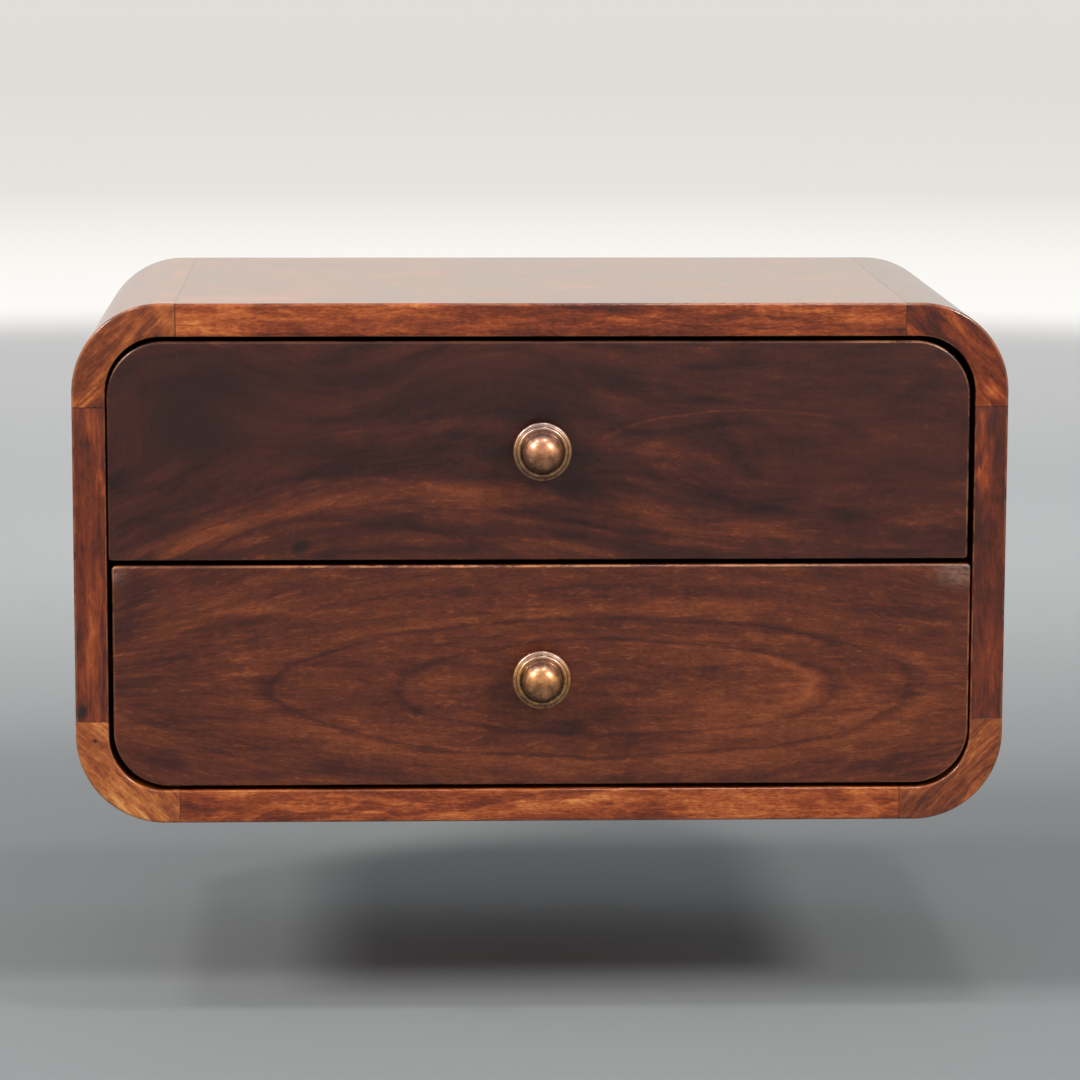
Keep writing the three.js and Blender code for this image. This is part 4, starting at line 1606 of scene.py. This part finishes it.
@dataclass
class Studio:
    """The camera, the lamps and a round pale cove, in metres, degrees and the photograph's pixels.

    The sensor is in millimetres.
    """

    floor_z: float = -0.225
    floor_start: float = 0.4
    floor_radius: float = 2.7
    cove_radius: float = 0.7
    wall_top: float = 1.9
    camera_place: Triple = (-0.07745, -2.29893, 0.32894)
    yaw: float = 2.146
    pitch: float = 8.786
    roll: float = 0.160
    focal_px: float = 4305.5
    image_px: float = 1080.0
    sensor: float = 36.0
    world_level: float = 0.62

    AROUND: ClassVar[int] = 128
    FLOOR_RINGS: ClassVar[int] = 8
    BEND_STEPS: ClassVar[int] = 24
    FLOOR_TURNS_WALL: ClassVar[Span] = (0.006, 0.04)
    BEHIND: ClassVar[Span] = (0.05, 1.45)
    FAR: ClassVar[Span] = (1.3, 2.7)

    def camera(self) -> None:
        """Sets the camera that the photograph was taken with."""
        data = bpy.data.cameras.new("camera")
        data.sensor_width = self.sensor
        data.lens = self.focal_px / self.image_px * self.sensor
        camera = bpy.data.objects.new("camera", data)
        bpy.context.scene.collection.objects.link(camera)
        yaw, pitch, roll = (math.radians(angle) for angle in (self.yaw, self.pitch, self.roll))
        ahead = Vector((math.sin(yaw) * math.cos(pitch), math.cos(yaw) * math.cos(pitch), -math.sin(pitch)))
        level = Vector((math.cos(yaw), -math.sin(yaw), 0.0))
        over = level.cross(ahead)
        right = level * math.cos(roll) + over * math.sin(roll)
        up = over * math.cos(roll) - level * math.sin(roll)
        turned = Matrix((right, up, -ahead)).transposed().to_4x4()
        camera.matrix_world = Matrix.Translation(self.camera_place) @ turned
        bpy.context.scene.camera = camera

    def cove(self) -> None:
        """Makes the floor and the wall as one revolved sheet.

        The profile runs out along the floor, up a quarter circle and up the wall.
        """
        turn = np.linspace(0.0, math.pi / 2, self.BEND_STEPS + 1)[1:]
        floor = np.linspace(self.floor_start, self.floor_radius, self.FLOOR_RINGS)
        bend = self.floor_radius + self.cove_radius * np.sin(turn)
        out = np.concatenate([floor, bend, bend[-1:]])
        up = np.concatenate([np.zeros(len(floor)), self.cove_radius * (1 - np.cos(turn)), [self.wall_top]])
        angle = np.linspace(0.0, 2 * math.pi, self.AROUND, endpoint=False)
        x, y = out[:, None] * np.cos(angle), out[:, None] * np.sin(angle)
        rings = np.stack([x, y, self.floor_z + up[:, None] + 0.0 * angle], axis=-1)
        index = np.arange(len(out) * self.AROUND).reshape(-1, self.AROUND)
        ahead = np.roll(index, -1, axis=1)
        quads = np.stack([index[:-1], index[1:], ahead[1:], ahead[:-1]], axis=-1).reshape(-1, 4)
        mesh = bpy.data.meshes.new("cove")
        mesh.from_pydata(rings.reshape(-1, 3).tolist(), [], [*quads.tolist(), index[0].tolist()])
        mesh.shade_smooth()
        mesh.materials.append(self.cove_paint())
        cove = bpy.data.objects.new("cove", mesh)
        bpy.context.scene.collection.objects.link(cove)

    def cove_paint(self) -> Material:
        """Makes pale grey paint on the floor that turns to warm white up the wall.

        The cove is clear to a look from outside, so that the nightstand shows from below as well.

        Returns:
            The finished material.
        """
        graph = Graph("cove_paint")
        height, behind = graph.axis(graph.object_place, "Z"), graph.axis(graph.object_place, "Y")
        start, end = self.FLOOR_TURNS_WALL
        share = graph.remap(height, self.floor_z + start, self.floor_z + end)
        cloud = PAINT_CLOUD.at(graph, graph.object_place)
        away = graph.plus(graph.remap(behind, *self.BEHIND), cloud, 0.2)
        floor = graph.mix(away, FLOOR_NEAR, FLOOR_BEHIND)
        floor = graph.mix(graph.remap(behind, *self.FAR), floor, FLOOR_FAR)
        colour = graph.mix(share, floor, WALL_PAINT)
        wall = graph.ramp(graph.remap(height, self.floor_z, self.floor_z + 1.0), WALL_GLOW)
        rays = graph.add("ShaderNodeLightPath").outputs
        seen = graph.math("MAXIMUM", rays["Is Camera Ray"], rays["Is Glossy Ray"])
        seen = graph.math("MAXIMUM", seen, rays["Is Transmission Ray"])
        plain = graph.add("ShaderNodeBsdfDiffuse", {"Color": colour, "Roughness": 0.0}).outputs[0]
        glow = graph.add("ShaderNodeEmission", {"Color": wall, "Strength": 1.0}).outputs[0]
        part = graph.times(seen, share)
        painted = graph.add("ShaderNodeMixShader", {0: part, 1: plain, 2: glow}).outputs[0]
        outside = graph.add("ShaderNodeNewGeometry").outputs["Backfacing"]
        outside = graph.times(outside, rays["Is Camera Ray"])
        clear = graph.add("ShaderNodeBsdfTransparent").outputs[0]
        mixed = graph.add("ShaderNodeMixShader", {0: outside, 1: painted, 2: clear}).outputs[0]
        graph.add("ShaderNodeOutputMaterial", {"Surface": mixed})
        return graph.material

    def light(self) -> None:
        """Hangs the lamps and sets a plain even world."""
        world = bpy.data.worlds.new("world")
        world.use_nodes = True
        world.node_tree.nodes["Background"].inputs["Color"].default_value = WORLD_COLOUR
        world.node_tree.nodes["Background"].inputs["Strength"].default_value = self.world_level
        bpy.context.scene.world = world
        bpy.context.scene.view_settings.view_transform = "Standard"
        for lamp in LAMPS:
            lamp.hang(LAMP_TARGET)

    def build(self) -> None:
        """Sets up the camera, the cove and the light."""
        self.camera()
        self.cove()
        self.light()
        log.info("studio ready")


BOARD_LOOK = {
    "tones": CASE_TONES, "mottle": 0.8, "clouds": 0.55, "streaks": 0.45, "flecks": 0.55,
    "ripple": 0.16, "rings": 0.6, "pores": 0.12, "sparks": 0.25,
}
BLOCK_LOOK = {
    "tones": BLOCK_TONES, "mottle": 0.9, "clouds": 0.66, "streaks": 0.36,
    "ripple": 0.22, "rings": 0.7, "pores": 0.12, "sparks": 0.25,
}


def member(look: dict[str, Any], node: str, grain: Grain, tone: float, shift: Triple, heart: Span,
           **more: Any) -> RingMember:
    """Chooses the wood of one piece of the ring.

    Args:
        look: The look of its kind of piece.
        node: Its frame node.
        grain: The way that its fibres run.
        tone: Its mean tone.
        shift: Its place in the log.
        heart: The place of the log's heart across the fibres.
        more: What differs from the look of its kind.

    Returns:
        The piece with its wood.
    """
    timber = Timber(f"{node}_timber", grain, tone=tone, shift=shift, heart=heart, **look | more)
    return RingMember(node, timber)


def case_members() -> list[RingMember]:
    """Lists the eight pieces of the ring, each with its own tone and place in the log.

    Returns:
        The four boards and the four corner blocks.
    """
    board, block = partial(member, BOARD_LOOK), partial(member, BLOCK_LOOK)
    return [
        board("top_board", Grain.ACROSS, 0.45, (11, 3, 7), (-100.0, 40.0), rings=0.5, rubbed=0.4, ovals=(
            Oval(-160, 118, 60, 30, 0.2), Oval(20, 118, 90, 30, -0.06), Oval(150, 118, 30, 30, 0.05),
        )),
        board("bottom_board", Grain.ACROSS, 0.58, (240, 13, 60), (-150.0, -110.0), rubbed=0.15, ovals=(
            Oval(-100, -118, 60, 30, -0.05), Oval(110, -118, 70, 30, 0.1), Oval(-168, -118, 14, 20, -0.08),
        )),
        board("left_board", Grain.UPRIGHT, 0.35, (31, 9, 22), (-150.0, 120.0), flecks=0.26, ripple=0.1,
              streaks=0.36, ovals=(
            Oval(-215, 67, 8, 11, 0.14), Oval(-220, 58, 5, 6, -0.14), Oval(-217, 26, 11, 14, 0.06),
            Oval(-217, 7, 12, 6, -0.08), Oval(-215, -30, 6, 28, 0.12), Oval(-219, -66, 5, 7, -0.12),
        ), knots=(Oval(-221.5, -71.0, 4.5, 5.5, 0.95),)),
        board("right_board", Grain.UPRIGHT, 0.27, (77, 45, 12), (-90.0, -210.0), flecks=0.26, ripple=0.1,
              streaks=0.36, ovals=(
            Oval(213, 54, 5, 30, 0.36), Oval(221, 60, 6, 22, -0.08), Oval(217, 8, 12, 18, -0.06),
            Oval(218, -14, 12, 22, -0.05), Oval(219, -60, 7, 9, 0.14), Oval(213.5, -64, 4, 12, -0.16),
        )),
        block("corner_block_top_left", Grain.RISING, 0.5, (17, 70, 3), (-150.0, 150.0), seam=0.9,
              rubbed=0.4, ovals=(
            Oval(-182, 119, 14, 9, 0.14), Oval(-214, 98, 14, 26, -0.06),
        )),
        block("corner_block_top_right", Grain.FALLING, 0.31, (5, 33, 41), (-120.0, 110.0), tones=CASE_TONES,
              seam=0.45, rubbed=0.45, ovals=(
            Oval(186, 118, 12, 9, -0.12), Oval(204, 96, 10, 12, 0.16), Oval(216, 84, 10, 8, 0.28),
        )),
        block("corner_block_bottom_left", Grain.FALLING, 0.71, (9, 51, 27), (-90.0, -190.0), seam=0.3,
              ovals=(
            Oval(-202, -94, 5, 14, -0.16, 45), Oval(-180, -120, 10, 8, -0.1),
        ), knots=(Oval(-216.0, -86.0, 1.7, 1.3, 0.8),)),
        block("corner_block_bottom_right", Grain.RISING, 0.44, (61, 5, 19), (-130.0, -120.0), seam=0.25,
              ovals=(
            Oval(184, -119, 12, 9, -0.06), Oval(212, -92, 12, 16, 0.06),
        )),
    ]


UPPER_FACE = Timber(
    "upper_face_timber", Grain.ACROSS, FRONT_TONES, 0.34, (130, 20, 4),
    mottle=0.72, clouds=0.34, streaks=0.16, flecks=0.34, ripple=0.1, rings=0.1, pores=0.06,
    sparks=0.5, spark=(142, 74, 36), gloss=0.55, roughness=0.28,
    flow=Flow(
        -66.0, 55.0, arch=(0.0022, 0.0009), leg=150.0, fade=(5.0, 130.0),
        swirls=(Oval(-168, 66, 90, 54, 0.55), Oval(112, 52, 100, 40, 0.34)),
        leans=(Oval(-62, 88, 110, 56, 0.42),),
    ),
    figures=(
        Stripes((
            (0.0, 0.08), (8.0, 0.02), (12.0, 0.14), (17.0, 0.03), (20.0, -0.02), (24.5, 0.12), (28.0, 0.02),
            (32.0, 0.2), (37.0, 0.22), (42.0, 0.08), (46.0, -0.05), (54.0, -0.04), (62.0, 0.0), (150.0, 0.0),
        ), 18.0, Oval(-55, 20, 215, 75, 1.0)),
        Figure(100, 45, 82, 30, (
            (0.0, 0.0), (0.5, 0.02), (0.7, 0.06), (0.8, 0.0), (0.94, -0.03), (0.985, 0.0), (1.01, 0.15),
            (1.04, -0.03), (1.12, 0.0), (2.2, 0.0),
        ), 0.14, Oval(78, 74, 78, 26, 1.0)),
    ),
    calm=(Oval(-160, 72, 84, 44, 0.75), Oval(-50, 92, 130, 20, 0.55), Oval(150, 60, 90, 46, 0.3)),
    ovals=(
        # Oval(8, 44, ...) is partly darker wood and partly painted shadow below the knob; Oval(0, 61, ...) on
        # the next line is painted shade round the knob.
        Oval(-168, 67, 56, 40, -0.12), Oval(-150, 94, 110, 20, -0.08), Oval(8, 44, 30, 34, -0.13),
        Oval(0, 61, 19, 17, -0.12), Oval(98, 62, 12, 9, 0.1), Oval(130, 70, 24, 3, 0.1, -8),
        Oval(108, 26, 18, 7, -0.12), Oval(148, 25, 14, 7, -0.1), Oval(100, 13, 60, 10, 0.08),
        Oval(180, 40, 40, 40, 0.06), Oval(121, 86, 40, 4, -0.1), Oval(-60, 75, 60, 14, -0.04),
        Oval(52, 56, 14, 7, 0.09, 30), Oval(-40, 84, 150, 30, -0.05), Oval(80, 66, 60, 20, -0.04),
        Oval(-110, 22, 40, 14, 0.08, 18), Oval(-158, 14, 44, 9, 0.16, 16), Oval(180, 16, 50, 12, 0.05),
    ),
    # The knot at (10, 44) is partly a dark patch and partly painted shadow below the knob.
    knots=(Oval(-115, 9.5, 5.0, 4.5, 0.8), Oval(-168, 67, 34, 26, 0.4), Oval(10, 44, 26, 26, 0.25)),
    wear=0.1,
    # These rub ovals are partly wear and partly painted highlights where lamps catch the arrises.
    rubs=(Oval(185, 108, 45, 8, 0.5), Oval(206, 60, 5, 70, 0.35), Oval(-206, 95, 14, 22, 0.35)),
)
LOWER_FACE = Timber(
    "lower_face_timber", Grain.ACROSS, FRONT_TONES, 0.53, (310, 40, 66),
    mottle=0.42, clouds=0.42, streaks=0.22, flecks=0.44, ripple=0.12, rings=0.1, pores=0.05,
    sparks=0.36, spark=(146, 82, 44), gloss=0.55, roughness=0.28,
    flow=Flow(30.0, -60.0, lens=0.32, reach=190.0),
    figures=(
        Figure(27, -60.7, 157, 34.2, (
            (0.0, 0.0), (0.8, 0.0), (0.9, 0.03), (0.96, 0.02), (0.985, -0.13), (1.01, -0.02), (1.05, 0.1),
            (1.13, 0.05), (1.3, 0.0), (1.45, -0.05), (1.56, 0.05), (1.7, 0.0), (2.4, 0.0),
        ), 0.18),
        Figure(37.5, -60.7, 106, 23.6, (
            (0.0, 0.04), (0.15, -0.06), (0.26, 0.04), (0.5, 0.0), (0.82, 0.04), (0.93, 0.05), (0.965, 0.0),
            (0.995, -0.12), (1.03, -0.03), (1.08, 0.03), (1.2, 0.0), (2.4, 0.0),
        ), 0.2),
        Figure(34, -59.5, 106, 23.6, (
            (0.0, 0.0), (0.84, 0.0), (0.93, 0.17), (0.98, 0.04), (1.05, 0.0), (2.4, 0.0),
        ), 0.2, Oval(130, -52, 30, 20, 1.0)),
    ),
    ovals=(
        Oval(-196, -20, 18, 30, -0.16), Oval(-183, -96, 22, 12, -0.14), Oval(180, -18, 60, 16, -0.08),
        Oval(60, -98, 130, 12, 0.08), Oval(-130, -22, 80, 7, 0.12), Oval(60, -21, 90, 6, 0.1),
        Oval(175, -101, 30, 7, -0.14), Oval(12, -78, 18, 11, -0.15), Oval(42, -62, 15, 4, 0.12),
        Oval(30, -6, 170, 5, -0.08), Oval(125, -76, 95, 28, 0.15), Oval(75, -40, 60, 14, 0.05),
        Oval(118, -55, 22, 12, 0.08), Oval(-10, -62, 26, 18, -0.07), Oval(-160, -60, 60, 40, -0.04),
        # Oval(0, -50, ...) is painted shade round the knob.
        Oval(-70, -89, 70, 10, 0.1, -12), Oval(0, -50, 18, 15, -0.1),
    ),
    bloom=(Oval(204, -3, 20, 13, 0.6), Oval(-205, -4, 8, 8, 0.4)),
    wear=0.2,
    # The rubs along the top edge are partly wear and partly a painted highlight on the arris.
    rubs=(Oval(0, 0, 165, 6, 0.5), Oval(-30, 0, 60, 6, 0.4), Oval(209, -40, 6, 50, 0.4),
          Oval(195, -95, 40, 22, 0.25),
          Oval(-206, -4, 14, 8, 0.4)),
)


def plain_woods() -> dict[str, Material]:
    """Makes the finishes of plain wood by the way that the fibres run, and of the back.

    Returns:
        The finishes by name.
    """
    bare = partial(Timber, tones=PALE_TONES, wear=0.0)
    return {
        "across": bare("rail_wood", Grain.ACROSS, tone=0.5, shift=(3, 8, 5), gloss=0.0).material(),
        "deep": bare("tongue_wood", Grain.UPRIGHT, tone=0.5, shift=(9, 4, 2), gloss=0.0).material(),
        "runner": bare("runner_wood", Grain.DEEP, tone=0.42, shift=(2, 6, 9), gloss=0.25,
                       roughness=0.4).material(),
        "back": Plywood("back_plywood", Grain.ACROSS, ALONG_Y, 1.8).material(),
    }


def box_woods() -> dict[str, Material]:
    """Makes the finishes of the drawer boxes by the way that the fibres run.

    Returns:
        The finishes by name.
    """
    box = partial(Timber, tones=BOX_TONES, mottle=0.6, streaks=0.5, flecks=0.25, end_grain=0.3, gloss=0.3,
                  wear=0.0, roughness=0.4)
    return {
        "across": box("box_wood_across", Grain.ACROSS, tone=0.46, shift=(21, 8, 5)).material(),
        "deep": box("box_wood_deep", Grain.DEEP, tone=0.5, shift=(5, 28, 13)).material(),
    }


def main() -> None:
    """Builds the studio and every sub-assembly in order."""
    logging.basicConfig(level=logging.INFO, format="%(message)s")
    Studio().build()
    CaseRing().build(case_members())
    screws = Screws()
    steel = ZincSteel("zinc_steel").material()
    InsideOfCase().build(screws, steel, plain_woods())
    box_wood = box_woods()
    bottom = Plywood("bottom_plywood", Grain.ACROSS, ALONG_Z, 1.25).material()
    drawers = (
        Drawer("upper", -0.975, 55.2, 106.0, 27.0, 2.0, 56.4, ((204, 140, 104), (176, 136, 98)), UPPER_FACE),
        Drawer("lower", 0.75, -54.4, 108.0, 2.0, 27.0, -54.4, ((212, 148, 92), (198, 148, 88)), LOWER_FACE),
    )
    for drawer in drawers:
        drawer.build(box_wood, steel, bottom, screws)


if __name__ == "__main__":
    main()
